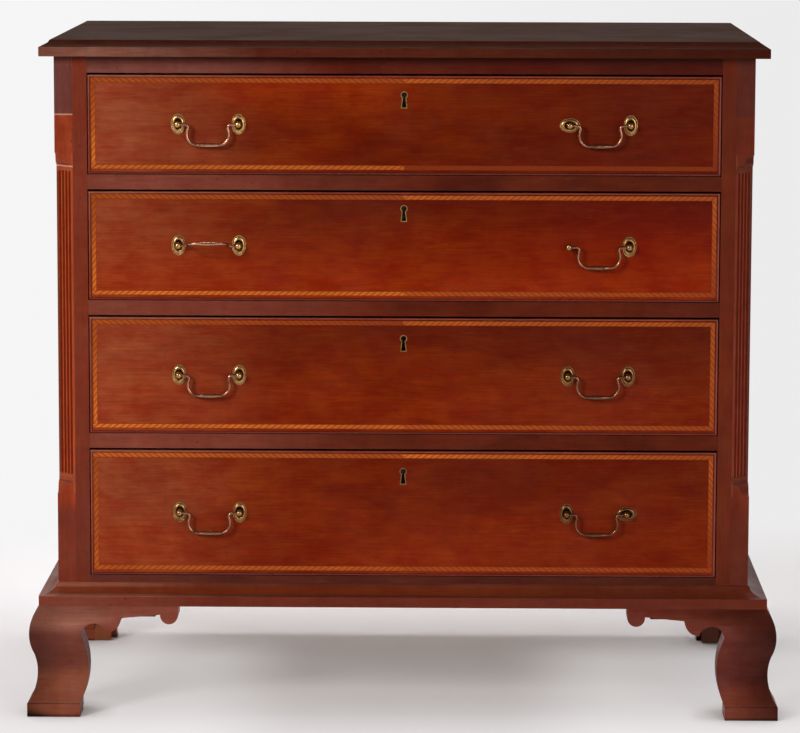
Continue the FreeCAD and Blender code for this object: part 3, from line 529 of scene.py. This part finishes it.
# brass turns browner towards the floor and the right: the ranges over which it does, and the
# share of the browner tone
dulling = {"down": (0.8, 0.25), "right": (-0.2, 0.25), "share": (0.0, 0.45)}


def makeBrass(name, clean, film, amount, roughness, size=0.006, pits=0.4, dulled=None):
    material, tree, shader = newMaterial(name)
    place = objectPlace(tree)
    old = useGroup(tree, tarnish, {"Vector": place, "Size": size, "Amount": amount})
    colour = blendColour(tree, old["Film"], clean, film)
    colour = blendColour(tree, times(tree, old["Pits"], pits), colour, film)
    if dulled:
        parts = split(tree, place)
        share = calc(tree, "ADD", remap(tree, parts["Z"], *dulling["down"], *dulling["share"]),
                     remap(tree, parts["X"], *dulling["right"], *dulling["share"]))
        colour = blendColour(tree, share, colour, dulled)
    bump = addNode(tree, "ShaderNodeBump", {"Strength": 0.6 * pits, "Distance": 0.0002,
                                            "Height": old["Pits"]})
    feed(tree, shader, {"Base Color": colour, "Metallic": 1.0, "Normal": bump.outputs[0],
                        "Roughness": spread(tree, old["Film"], *roughness)})
    return material


brassBright = makeBrass("brass_rubbed", tone(216, 172, 112), tone(134, 88, 38), 0.5,
                        (0.22, 0.4), pits=0.25, dulled=tone(106, 66, 38))
brassWire = makeBrass("brass_bail", tone(200, 146, 116), tone(104, 64, 44), 0.45,
                      (0.22, 0.34), 0.012, pits=0.12, dulled=tone(100, 62, 42))
brassDark = makeBrass("brass_grime", tone(52, 36, 20), tone(22, 15, 9), 0.6, (0.5, 0.7))
lockIron = makeBrass("iron_lock", tone(92, 84, 76), tone(54, 40, 30), 0.6, (0.45, 0.7), 0.01)
for number in drawers:
    dress(f"drawer_{number}_lock", lockIron)
    dress(f"drawer_{number}_lock_bolt", brassBright)
print("metal ready")


def newShapeGroup(name, extra=()):
    # a group of modifier nodes with a mesh in and out, and any extra inputs
    tree = bpy.data.node_groups.new(name, "GeometryNodeTree")
    for label, way, kind in (("Geometry", "INPUT", "NodeSocketGeometry"), *extra,
                             ("Geometry", "OUTPUT", "NodeSocketGeometry")):
        tree.interface.new_socket(label, in_out=way, socket_type=kind)
    start = tree.nodes.new("NodeGroupInput")
    end = tree.nodes.new("NodeGroupOutput")
    return tree, start.outputs, end.inputs


def makeMendGroup():
    # joins the faces of a carried-over solid and drops their fixed normals
    tree, start, end = newShapeGroup("joinFaces")
    plain = addNode(tree, "GeometryNodeRemoveAttribute", {"Geometry": start[0]})
    plain.inputs["Name"].default_value = "custom_normal"
    joined = addNode(tree, "GeometryNodeMergeByDistance",
                     {"Geometry": plain.outputs[0], "Distance": 0.000005})
    tree.links.new(joined.outputs[0], end[0])
    return tree


def makeShadeGroup(limit):
    tree, start, end = newShapeGroup("shadeByAngle")
    angle = tree.nodes.new("GeometryNodeInputMeshEdgeAngle").outputs["Unsigned Angle"]
    sharp = addNode(tree, "FunctionNodeCompare", {0: angle, 1: math.radians(limit)},
                    operation="GREATER_THAN")
    smooth = addNode(tree, "GeometryNodeSetShadeSmooth", {"Geometry": start[0]}, domain="FACE")
    edged = addNode(tree, "GeometryNodeSetShadeSmooth",
                    {"Geometry": smooth.outputs[0], "Selection": sharp.outputs[0],
                     "Shade Smooth": False}, domain="EDGE")
    tree.links.new(edged.outputs[0], end[0])
    return tree


def makeKeepGroup():
    # holds the softened arrises inside the solid's own box
    tree, start, end = newShapeGroup("keepInside", (("Low", "INPUT", "NodeSocketVector"),
                                                    ("High", "INPUT", "NodeSocketVector")))
    place = tree.nodes.new("GeometryNodeInputPosition").outputs[0]
    inside = vectorCalc(tree, "MINIMUM", vectorCalc(tree, "MAXIMUM", place, start["Low"]),
                        start["High"])
    kept = addNode(tree, "GeometryNodeSetPosition", {"Geometry": start["Geometry"],
                                                     "Position": inside})
    tree.links.new(kept.outputs[0], end[0])
    return tree


joinFaces = makeMendGroup()
keepInside = makeKeepGroup()
arris = {"angle": 38, "width": 0.0004, "segments": 2}
shadeByAngle = makeShadeGroup(arris["angle"])
widerArrises = {"top_board": 0.0008, "front_foot_left": 0.0009, "front_foot_right": 0.0009,
                "rear_foot_left": 0.0009, "rear_foot_right": 0.0009}


def softenEdges(piece, width):
    piece.modifiers.new("join", "NODES").node_group = joinFaces
    bevel = piece.modifiers.new("arris", "BEVEL")
    bevel.width = width
    bevel.segments = arris["segments"]
    bevel.limit_method = "ANGLE"
    bevel.angle_limit = math.radians(arris["angle"])
    bevel.use_clamp_overlap = True
    keep = piece.modifiers.new("keep", "NODES")
    keep.node_group = keepInside
    wanted = [item.identifier for item in keepInside.interface.items_tree
              if item.socket_type == "NodeSocketVector"]
    for key, corner in zip(wanted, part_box(piece.name)):
        keep[key] = list(corner)
    piece.modifiers.new("shade", "NODES").node_group = shadeByAngle
    even = piece.modifiers.new("even", "WEIGHTED_NORMAL")
    even.mode = "FACE_AREA"
    even.weight = 100
    even.keep_sharp = True


# exact already, or made of solids that meet corner to corner, which a bevel would tear
leftPlain = ("base_moulding", "corner_post_left", "corner_post_right", "foot_blocks",
             "back_boards")
for name, piece in nodes.items():
    if name not in leftPlain and not name.endswith(("_box", "_cock_bead")):
        softenEdges(piece, widerArrises.get(name, arris["width"]))
print("arrises softened")


def newPiece(name, builder, *materials, smoothAngle=40.0):
    mesh = bpy.data.meshes.new(name)
    form = bmesh.new()
    builder(form)
    bmesh.ops.recalc_face_normals(form, faces=form.faces)
    for edge in form.edges:
        if len(edge.link_faces) == 2:
            edge.smooth = edge.calc_face_angle(0.0) < math.radians(smoothAngle)
    for face in form.faces:
        face.smooth = True
    form.to_mesh(mesh)
    form.free()
    for material in materials:
        mesh.materials.append(material)
    piece = bpy.data.objects.new(name, mesh)
    bpy.context.scene.collection.objects.link(piece)
    return piece


inlay = {
    "pitch": 0.0088, "lean": 1.4, "width": 0.006, "gloss": 0.08, "roughness": (0.36, 0.5),
    "light": tone(214, 112, 38), "dark": tone(162, 72, 20), "edge": tone(112, 40, 12),
    "oldLight": tone(130, 47, 12), "oldDark": tone(125, 44, 11),
    # brightness of each strip at its two ends: top and bottom run to the right from the left
    # end and from the middle, the uprights run upwards
    "fade": {1: {"top": (0.3, 0.25, 0.55, 0.2), "bottom": (0.75, 0.6, 0.0, 0.0),
                 "left": (1.0, 0.15), "right": (0.0, 0.25)},
             2: {"top": (0.3, 0.2, 0.6, 0.4), "bottom": (0.95, 0.75, 0.4, 0.2),
                 "left": (0.95, 0.25), "right": (0.15, 0.5)},
             3: {"top": (0.35, 0.05, 0.5, 0.4), "bottom": (1.0, 0.7, 0.4, 0.2),
                 "left": (1.0, 0.3), "right": (0.3, 0.45)},
             4: {"top": (0.6, 0.3, 0.8, 0.3), "bottom": (0.45, 0.45, 0.3, 0.15),
                 "left": (0.5, 0.25), "right": (0.05, 0.5)}},
}


def makeInlayWood():
    material, tree, shader = newMaterial("wood_rope_inlay")
    band = addNode(tree, "ShaderNodeUVMap", uv_map="band").outputs[0]
    fade = addNode(tree, "ShaderNodeAttribute", attribute_name="fade").outputs["Fac"]
    twist = useGroup(tree, twistStrands, {"Vector": band, "Pitch": inlay["pitch"],
                                          "Lean": inlay["lean"], "Width": inlay["width"]})
    place = objectPlace(tree)
    grain = useGroup(tree, boardGrain, {"Vector": place, "Line Width": 0.0012,
                                        "Cloud Size": 0.03})
    light = blendColour(tree, fade, inlay["oldLight"], inlay["light"])
    dark = blendColour(tree, fade, inlay["oldDark"], inlay["dark"])
    colour = blendColour(tree, twist["Strand"], light, dark)
    colour = blendColour(tree, times(tree, grain["Clouds"], 0.25), colour, inlay["edge"])
    # the dark line at each side of the band fades with it
    edge = times(tree, twist["Edge"], remap(tree, fade, 0.0, 1.0, 0.25, 0.75))
    colour = blendColour(tree, edge, colour, inlay["edge"])
    bump = addNode(tree, "ShaderNodeBump", {"Strength": 0.15, "Distance": 0.0003,
                                            "Height": twist["Strand"]})
    feed(tree, shader, {"Base Color": colour, "Specular IOR Level": inlay["gloss"],
                        "Roughness": spread(tree, grain["Lines"], *inlay["roughness"]),
                        "Normal": bump.outputs[0]})
    return material


def inlayBuilder(number):
    low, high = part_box(f"drawer_{number}_inlay")
    width = inlay["width"]
    fade = inlay["fade"][number]

    def build(form):
        bandLayer = form.loops.layers.uv.new("band")
        fadeLayer = form.verts.layers.float.new("fade")

        def strip(corner, along, across, length, ends, lean):
            # a thin slip let into the front; along and across are unit directions
            deep = Vector((0, high.y - low.y, 0))
            places = [(0, 0), (length, 0), (length, width), (0, width)]
            fronts = [form.verts.new(corner + along * u + across * v) for u, v in places]
            backs = [form.verts.new(vert.co + deep) for vert in fronts]
            for vert, share in zip(fronts + backs, (0, 1, 1, 0) * 2):
                vert[fadeLayer] = ends[share]
            face = form.faces.new(fronts)
            for loop, (u, v) in zip(face.loops, places):
                loop[bandLayer].uv = (u if lean > 0 else -u, v)
            form.faces.new(list(reversed(backs)))
            for index in range(4):
                after = (index + 1) % 4
                form.faces.new([fronts[index], backs[index], backs[after], fronts[after]])

        x, up = Vector((1, 0, 0)), Vector((0, 0, 1))
        half = high.x
        for edge, z, lean in (("top", high.z - width, -1), ("bottom", low.z, 1)):
            ends = fade[edge]
            strip(Vector((-half, low.y, z)), x, up, half, ends[:2], lean)
            strip(Vector((0, low.y, z)), x, up, half, ends[2:], -lean)
        tall = high.z - low.z - 2 * width
        strip(Vector((-half, low.y, low.z + width)), up, x, tall, fade["left"], 1)
        strip(Vector((half - width, low.y, low.z + width)), up, x, tall, fade["right"], -1)
    return build


inlayWood = makeInlayWood()
for number in drawers:
    piece = newPiece(f"inlay_{number}", inlayBuilder(number), inlayWood)
    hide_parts(f"drawer_{number}_inlay")
    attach(piece, f"drawer_{number}")
print("inlay laid")

pull = {
    "centreX": 0.2584, "postSpan": 0.040, "halfWidth": 0.0094, "halfHeight": 0.0138,
    "sides": 36, "nutY": 0.022, "nut": (0.011, 0.004), "nutArris": 0.0006,
    # drawer, side and post of the rosettes that are lost or turned on their posts
    "lost": [(2, 1, -1)], "turned": [(1, 1, -1), (4, 1, 1)],
    # the bail, and by drawer and side the degrees that one stands out from hanging
    "stand": 0.0096, "wireSides": 16, "wire": 0.0019, "grip": 0.0029, "drop": 0.0272,
    "leg": 0.026, "splay": 0.0016, "shoulder": 0.0046, "corner": 0.0135, "bow": 0.0007,
    "pinGap": 0.0005, "pinTip": 0.003, "pinRun": 0.002, "tipShare": 0.9,
    "gripFrom": 0.017, "gripOver": 0.012, "gripAt": (0.012, 0.0095, 0.007, 0.0045, 0.002),
    "raised": {(2, -1): 102.0},
}
# share of the oval's half width, height above the drawer front, part of the dark ground
rosetteProfile = [(1.0, 0.0, 0), (1.0, 0.00045, 0), (0.985, 0.0007, 0), (0.93, 0.0008, 0),
                  (0.90, 0.0007, 0), (0.87, 0.0011, 0), (0.82, 0.0017, 0), (0.74, 0.00215, 0),
                  (0.66, 0.00235, 0), (0.58, 0.0023, 0), (0.52, 0.0019, 0), (0.48, 0.0013, 1),
                  (0.42, 0.0009, 1), (0.29, 0.0008, 1)]
postProfile = [(0.0029, 0.0, 1), (0.0028, 0.0030, 1), (0.0030, 0.0040, 0), (0.0038, 0.0052, 0),
               (0.0045, 0.0068, 0), (0.0046, 0.0088, 0), (0.0045, 0.0106, 0),
               (0.0040, 0.0122, 0), (0.0032, 0.0132, 0), (0.0020, 0.0138, 0),
               (0.0008, 0.0140, 0)]


def joinRings(form, first, second, material=0):
    for index in range(len(first)):
        after = (index + 1) % len(first)
        face = form.faces.new([first[index], first[after], second[after], second[index]])
        face.material_index = material


def turnedSkin(form, centre, rows, sides):
    # rows: (half width, half height, distance out from the front, material)
    rings = []
    for halfWidth, halfHeight, out, _ in rows:
        ringVerts = []
        for index in range(sides):
            angle = 2 * math.pi * index / sides
            ringVerts.append(form.verts.new(centre + Vector((
                halfWidth * math.cos(angle), -out, halfHeight * math.sin(angle)))))
        rings.append(ringVerts)
    for first, second, row in zip(rings, rings[1:], rows[1:]):
        joinRings(form, first, second, row[3])
    form.faces.new(rings[-1])
    form.faces.new(list(reversed(rings[0])))


def blockNut(form, centre, width, thickness):
    corners = [form.verts.new(centre + Vector((x * width / 2, y, z * width / 2)))
               for y in (0.0, thickness)
               for x, z in ((-1, -1), (1, -1), (1, 1), (-1, 1))]
    made = [form.faces.new([corners[index] for index in order])
            for order in ((0, 1, 2, 3), (7, 6, 5, 4), (0, 4, 5, 1), (1, 5, 6, 2),
                          (2, 6, 7, 3), (3, 7, 4, 0))]
    edges = list(dict.fromkeys(edge for face in made for edge in face.edges))
    bmesh.ops.bevel(form, geom=edges, offset=pull["nutArris"], segments=2, affect="EDGES")


keyhole = {"radius": 0.0049, "neck": 0.0028, "foot": 0.0043, "height": 0.0225,
           "wall": 0.0012, "depth": 0.005, "steps": 20}


def keyholeLoop(keyTop, inset):
    # outline of a keyhole from the foot's left corner, seen from the front
    radius = keyhole["radius"] - inset
    centre = keyTop - keyhole["radius"]
    footHalf = keyhole["foot"] - inset
    footZ = keyTop - keyhole["height"] + inset
    neck = math.asin((keyhole["neck"] - inset) / radius)
    points = [(-footHalf, footZ), (footHalf, footZ)]
    for step in range(keyhole["steps"] + 1):
        turn = neck + 2 * (math.pi - neck) * step / keyhole["steps"]
        points.append((radius * math.sin(turn), centre - radius * math.cos(turn)))
    return points


def keyholeLiner(form, keyTop, faceY):
    outer = keyholeLoop(keyTop, 0.0)
    inner = keyholeLoop(keyTop, keyhole["wall"])
    rows = []
    for loop, y in ((outer, faceY), (inner, faceY), (inner, faceY + keyhole["depth"]),
                    (outer, faceY + keyhole["depth"])):
        rows.append([form.verts.new(Vector((x, y, z))) for x, z in loop])
    for first, second in zip(rows, rows[1:] + rows[:1]):
        joinRings(form, first, second)


keyDrops = {1: 0.0229, 2: 0.0192, 3: 0.025, 4: 0.0252}  # from the top of the opening
gaps = {"under": 0.0008, "over": 0.0024}  # between a drawer front and its opening


def openingSpan(number):
    # plane of the drawer's front, middle height and top of its opening
    low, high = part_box(f"drawer_{number}_front")
    top = high.z + gaps["over"]
    return low.y, (low.z - gaps["under"] + top) / 2, top


def brassesBuilder(number):
    faceY, middle, top = openingSpan(number)

    def build(form):
        for side in (-1, 1):
            for post in (-1, 1):
                x = side * pull["centreX"] + post * pull["postSpan"]
                centre = Vector((x, faceY, middle))
                if (number, side, post) not in pull["lost"]:
                    halfWidth, halfHeight = pull["halfWidth"], pull["halfHeight"]
                    if (number, side, post) in pull["turned"]:
                        halfWidth, halfHeight = halfHeight, halfWidth
                    rows = [(halfWidth * share, halfHeight * share, out, ground)
                            for share, out, ground in rosetteProfile]
                    turnedSkin(form, centre, rows, pull["sides"])
                rows = [(radius, radius, out, ground) for radius, out, ground in postProfile]
                turnedSkin(form, centre, rows, pull["sides"])
                blockNut(form, centre + Vector((0, pull["nutY"], 0)), *pull["nut"])
        keyholeLiner(form, top - keyDrops[number], faceY)
    return build


def bailPath():
    # smooth centre line of the right half: along the pin, round the shoulder, down the leg
    end = pull["postSpan"] - pull["pinGap"]
    leg, shoulder, corner = pull["leg"], pull["shoulder"], pull["corner"]
    lowLeg = leg + pull["splay"]
    path = [(end, 0.0), (end - pull["pinTip"], 0.0), (leg + shoulder + pull["pinRun"], 0.0)]
    for step in range(9):
        turn = math.pi / 2 * step / 8
        path.append((leg + shoulder * (1 - math.sin(turn)), shoulder * (math.cos(turn) - 1)))
    for step in range(1, 6):
        share = step / 6
        bow = pull["bow"] * math.sin(math.pi * share)
        z = -shoulder + (corner + shoulder - pull["drop"]) * share
        path.append((leg + pull["splay"] * share + bow, z))
    for step in range(11):
        turn = math.pi / 2 * step / 10
        path.append((lowLeg + corner * (math.cos(turn) - 1),
                     corner * (1 - math.sin(turn)) - pull["drop"]))
    return path + [(x, -pull["drop"]) for x in pull["gripAt"]]


def bailRadius(x, z):
    if z > -pull["drop"] * 0.8:
        return pull["wire"]
    share = max(0.0, min(1.0, (pull["gripFrom"] - abs(x)) / pull["gripOver"]))
    share = share * share * (3 - 2 * share)
    return pull["wire"] + (pull["grip"] - pull["wire"]) * share


def bailBuilder(pivot, angle):
    half = bailPath()
    flat = half + [(-x, z) for x, z in reversed(half)]
    swing = Matrix.Rotation(math.radians(-angle), 3, "X")

    def build(form):
        points = [Vector((x, 0, z)) for x, z in flat]
        rings = []
        for index, point in enumerate(points):
            before = points[max(index - 1, 0)]
            after = points[min(index + 1, len(points) - 1)]
            heading = (after - before).normalized()
            across = heading.cross(Vector((0, 1, 0))).normalized()
            radius = bailRadius(point.x, point.z)
            if index in (0, len(points) - 1):
                radius *= pull["tipShare"]
            verts = []
            for side in range(pull["wireSides"]):
                turn = 2 * math.pi * side / pull["wireSides"]
                local = point + across * (radius * math.cos(turn))
                local = local + Vector((0, radius * math.sin(turn), 0))
                verts.append(form.verts.new(pivot + swing @ local))
            rings.append(verts)
        for first, second in zip(rings, rings[1:]):
            joinRings(form, first, second)
        form.faces.new(rings[0])
        form.faces.new(list(reversed(rings[-1])))
    return build


for number in drawers:
    faceY, middle, top = openingSpan(number)
    piece = newPiece(f"brasses_{number}", brassesBuilder(number), brassBright, brassDark)
    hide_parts(f"drawer_{number}_brasses")
    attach(piece, f"drawer_{number}")
    for sideName, side in (("left", -1), ("right", 1)):
        pivot = Vector((side * pull["centreX"], faceY - pull["stand"], middle))
        raised = pull["raised"].get((number, side), 0.0)
        piece = newPiece(f"bail_{number}_{sideName}", bailBuilder(pivot, raised), brassWire,
                         smoothAngle=60.0)
        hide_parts(f"drawer_{number}_bail_{sideName}")
        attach(piece, f"drawer_{number}_{sideName}_bail")
print("pulls and keyholes made")

studio = {
    "floor": tone(239, 236, 236), "far": tone(232, 230, 231), "fade": 0.09, "under": 0.24,
    "beside": 0.56, "front": 0.4, "touch": 0.05, "wallY": 0.85, "bend": 0.3, "width": 6.0,
    "height": 3.4, "world": tone(118, 118, 120), "speck": tone(226, 219, 216),
    "dim": tone(70, 68, 66), "wallLeft": tone(246, 246, 246), "wallRight": tone(236, 235, 235),
    "wallSpeck": tone(238, 238, 238), "floorHalf": 9.0, "floorZ": -0.0004, "sweepZ": -0.0002,
    # distances between which the paper changes, forwards or sideways from the chest's middle
    "farFrom": (0.2, 0.4), "dimFrom": (-0.9, -1.5), "paleFrom": (-0.75, -1.1),
    "besideFrom": (0.12, 0.3), "underFrom": (0.34, 0.06), "frontFrom": (-0.12, -0.45),
}


def seenRays(tree):
    # rays that show the paper: straight, in a reflection or through clear parts
    rays = tree.nodes.new("ShaderNodeLightPath").outputs
    seen = calc(tree, "MAXIMUM", rays["Is Camera Ray"], rays["Is Glossy Ray"])
    return calc(tree, "MAXIMUM", seen, rays["Is Transmission Ray"])


def makeFloorPaper():
    material, tree, shader = newMaterial("floor_paper")
    place = objectPlace(tree)
    mottle = noise(tree, place, 3.0, 3.0, 0.5)
    colour = blendColour(tree, remap(tree, mottle, 0.3, 0.7, 0.0, 0.25), studio["floor"],
                         studio["speck"])
    # well in front of the chest the paper gives back less light, but still looks pale
    sides = split(tree, place)
    forward, sideways = sides["Y"], calc(tree, "ABSOLUTE", sides["X"])
    # painted shade: behind the chest the paper turns greyer
    colour = blendColour(tree, remap(tree, forward, *studio["farFrom"]), colour, studio["far"])
    dim = blendColour(tree, remap(tree, forward, *studio["dimFrom"]), colour, studio["dim"])
    feed(tree, shader, {"Base Color": dim, "Roughness": remap(tree, mottle, 0.3, 0.7, 0.8, 0.95),
                        "Specular IOR Level": 0.1})
    # painted light: for the rays that see it the paper glows with its own tone, more beside and
    # in front of the chest than under it, so that its shadows stay soft
    glow = addNode(tree, "ShaderNodeEmission", {"Color": colour}).outputs[0]
    beside = remap(tree, sideways, *studio["besideFrom"], studio["under"], studio["beside"])
    near = times(tree, remap(tree, forward, *studio["underFrom"]), beside)
    before = remap(tree, forward, *studio["frontFrom"], 0.0, studio["front"])
    near = calc(tree, "ADD", near, before, True)
    near = calc(tree, "ADD", near, remap(tree, forward, *studio["paleFrom"]), True)
    # close to a foot the paper keeps its full shadow
    room = addNode(tree, "ShaderNodeAmbientOcclusion", {"Distance": studio["touch"]}, samples=4)
    near = times(tree, near, calc(tree, "POWER", room.outputs["AO"], 2.0))
    paintedLightShare = times(tree, seenRays(tree), near)
    output = next(node for node in tree.nodes if node.type == "OUTPUT_MATERIAL")
    tree.links.new(mixShaders(tree, paintedLightShare, shader.outputs[0], glow), output.inputs[0])
    return material


def makeSweepPaper():
    # seen from its own side only, so that the back of the chest can be looked at too
    material = bpy.data.materials.new("sweep_paper")
    material.use_nodes = True
    tree = material.node_tree
    tree.nodes.clear()
    place = objectPlace(tree)
    parts = split(tree, place)
    mottle = noise(tree, place, 1.2, 3.0, 0.5)
    paper = addNode(tree, "ShaderNodeBsdfDiffuse", {"Color": studio["far"]}).outputs[0]
    # for the rays that see it the wall glows, paler at the left and darker at the right as
    # painted shade
    across = remap(tree, parts["X"], -0.7, 0.7)
    wall = blendColour(tree, across, studio["wallLeft"], studio["wallRight"])
    wall = blendColour(tree, times(tree, mottle, 0.1), wall, studio["wallSpeck"])
    glow = addNode(tree, "ShaderNodeEmission", {"Color": wall}).outputs[0]
    rise = remap(tree, parts["Z"], 0.0, studio["fade"])
    lit = mixShaders(tree, times(tree, seenRays(tree), rise), paper, glow)
    clear = tree.nodes.new("ShaderNodeBsdfTransparent").outputs[0]
    behind = tree.nodes.new("ShaderNodeNewGeometry").outputs["Backfacing"]
    output = tree.nodes.new("ShaderNodeOutputMaterial")
    tree.links.new(mixShaders(tree, behind, lit, clear), output.inputs[0])
    return material


def floorBuilder(form):
    bmesh.ops.create_grid(form, x_segments=8, y_segments=8, size=studio["floorHalf"])
    for vert in form.verts:
        vert.co.z = studio["floorZ"]


def sweepBuilder(form):
    half, wallY, bend = studio["width"], studio["wallY"], studio["bend"]
    profile = [(wallY - bend, studio["sweepZ"])]
    for step in range(1, 17):
        turn = math.pi / 2 * step / 16
        profile.append((wallY - bend + bend * math.sin(turn), bend * (1 - math.cos(turn))))
    profile.append((wallY, studio["height"]))
    rows = [[form.verts.new((x, y, z)) for y, z in profile] for x in (-half, half)]
    for index in range(len(profile) - 1):
        form.faces.new([rows[0][index], rows[1][index], rows[1][index + 1], rows[0][index + 1]])


floor = newPiece("studio_floor", floorBuilder, makeFloorPaper())
sweep = newPiece("studio_sweep", sweepBuilder, makeSweepPaper())
if sweep.data.polygons[-1].normal.y > 0:
    sweep.data.flip_normals()

lamps = {
    # place, aimed at, width, watts, cone in degrees
    "key": ((-2.6, -3.4, 2.2), (-0.1, 0.0, 0.45), 1.2, 24.5, 80.0),
    "fill": ((2.2, -4.4, 1.3), (0.0, 0.0, 0.4), 2.2, 14.0, 80.0),
    "top": ((0.0, 0.5, 2.9), (0.0, 0.5, 0.0), 1.6, 34.0, 120.0),
}
for name, (place, aim, width, watts, cone) in lamps.items():
    light = bpy.data.lights.new("lamp_" + name, "AREA")
    light.shape = "SQUARE"
    light.size = width
    light.energy = watts
    light.spread = math.radians(cone)
    lamp = bpy.data.objects.new("lamp_" + name, light)
    lamp.location = place
    lamp.rotation_mode = "QUATERNION"
    lamp.rotation_quaternion = (Vector(aim) - Vector(place)).to_track_quat("-Z", "Y")
    bpy.context.scene.collection.objects.link(lamp)

world = bpy.data.worlds.new("studio_air")
bpy.context.scene.world = world
world.use_nodes = True
world.node_tree.nodes["Background"].inputs["Color"].default_value = studio["world"]
world.node_tree.nodes["Background"].inputs["Strength"].default_value = 1.0
print("studio lit")

view = {"place": (0.0585, -5.2706, 1.1647), "down": 7.87, "turn": 0.718, "roll": 0.165,
        "lens": 171.9}


def aimedMatrix(down, turn, roll):
    pitch, yaw, lean = (math.radians(value) for value in (down, turn, roll))
    forward = Vector((-math.sin(yaw) * math.cos(pitch), math.cos(yaw) * math.cos(pitch),
                      -math.sin(pitch)))
    right = Vector((math.cos(yaw), math.sin(yaw), 0))
    over = right.cross(forward)
    leaned = right * math.cos(lean) + over * math.sin(lean)
    raised = over * math.cos(lean) - right * math.sin(lean)
    return Matrix((leaned, raised, -forward)).transposed()


cameraData = bpy.data.cameras.new("camera")
cameraData.lens = view["lens"]
cameraData.sensor_width = 36.0
cameraData.clip_end = 60.0
camera = bpy.data.objects.new("camera", cameraData)
camera.matrix_world = (Matrix.Translation(view["place"])
                       @ aimedMatrix(view["down"], view["turn"], view["roll"]).to_4x4())
bpy.context.scene.collection.objects.link(camera)
bpy.context.scene.camera = camera
bpy.context.scene.view_settings.view_transform = "Standard"
print("camera set")
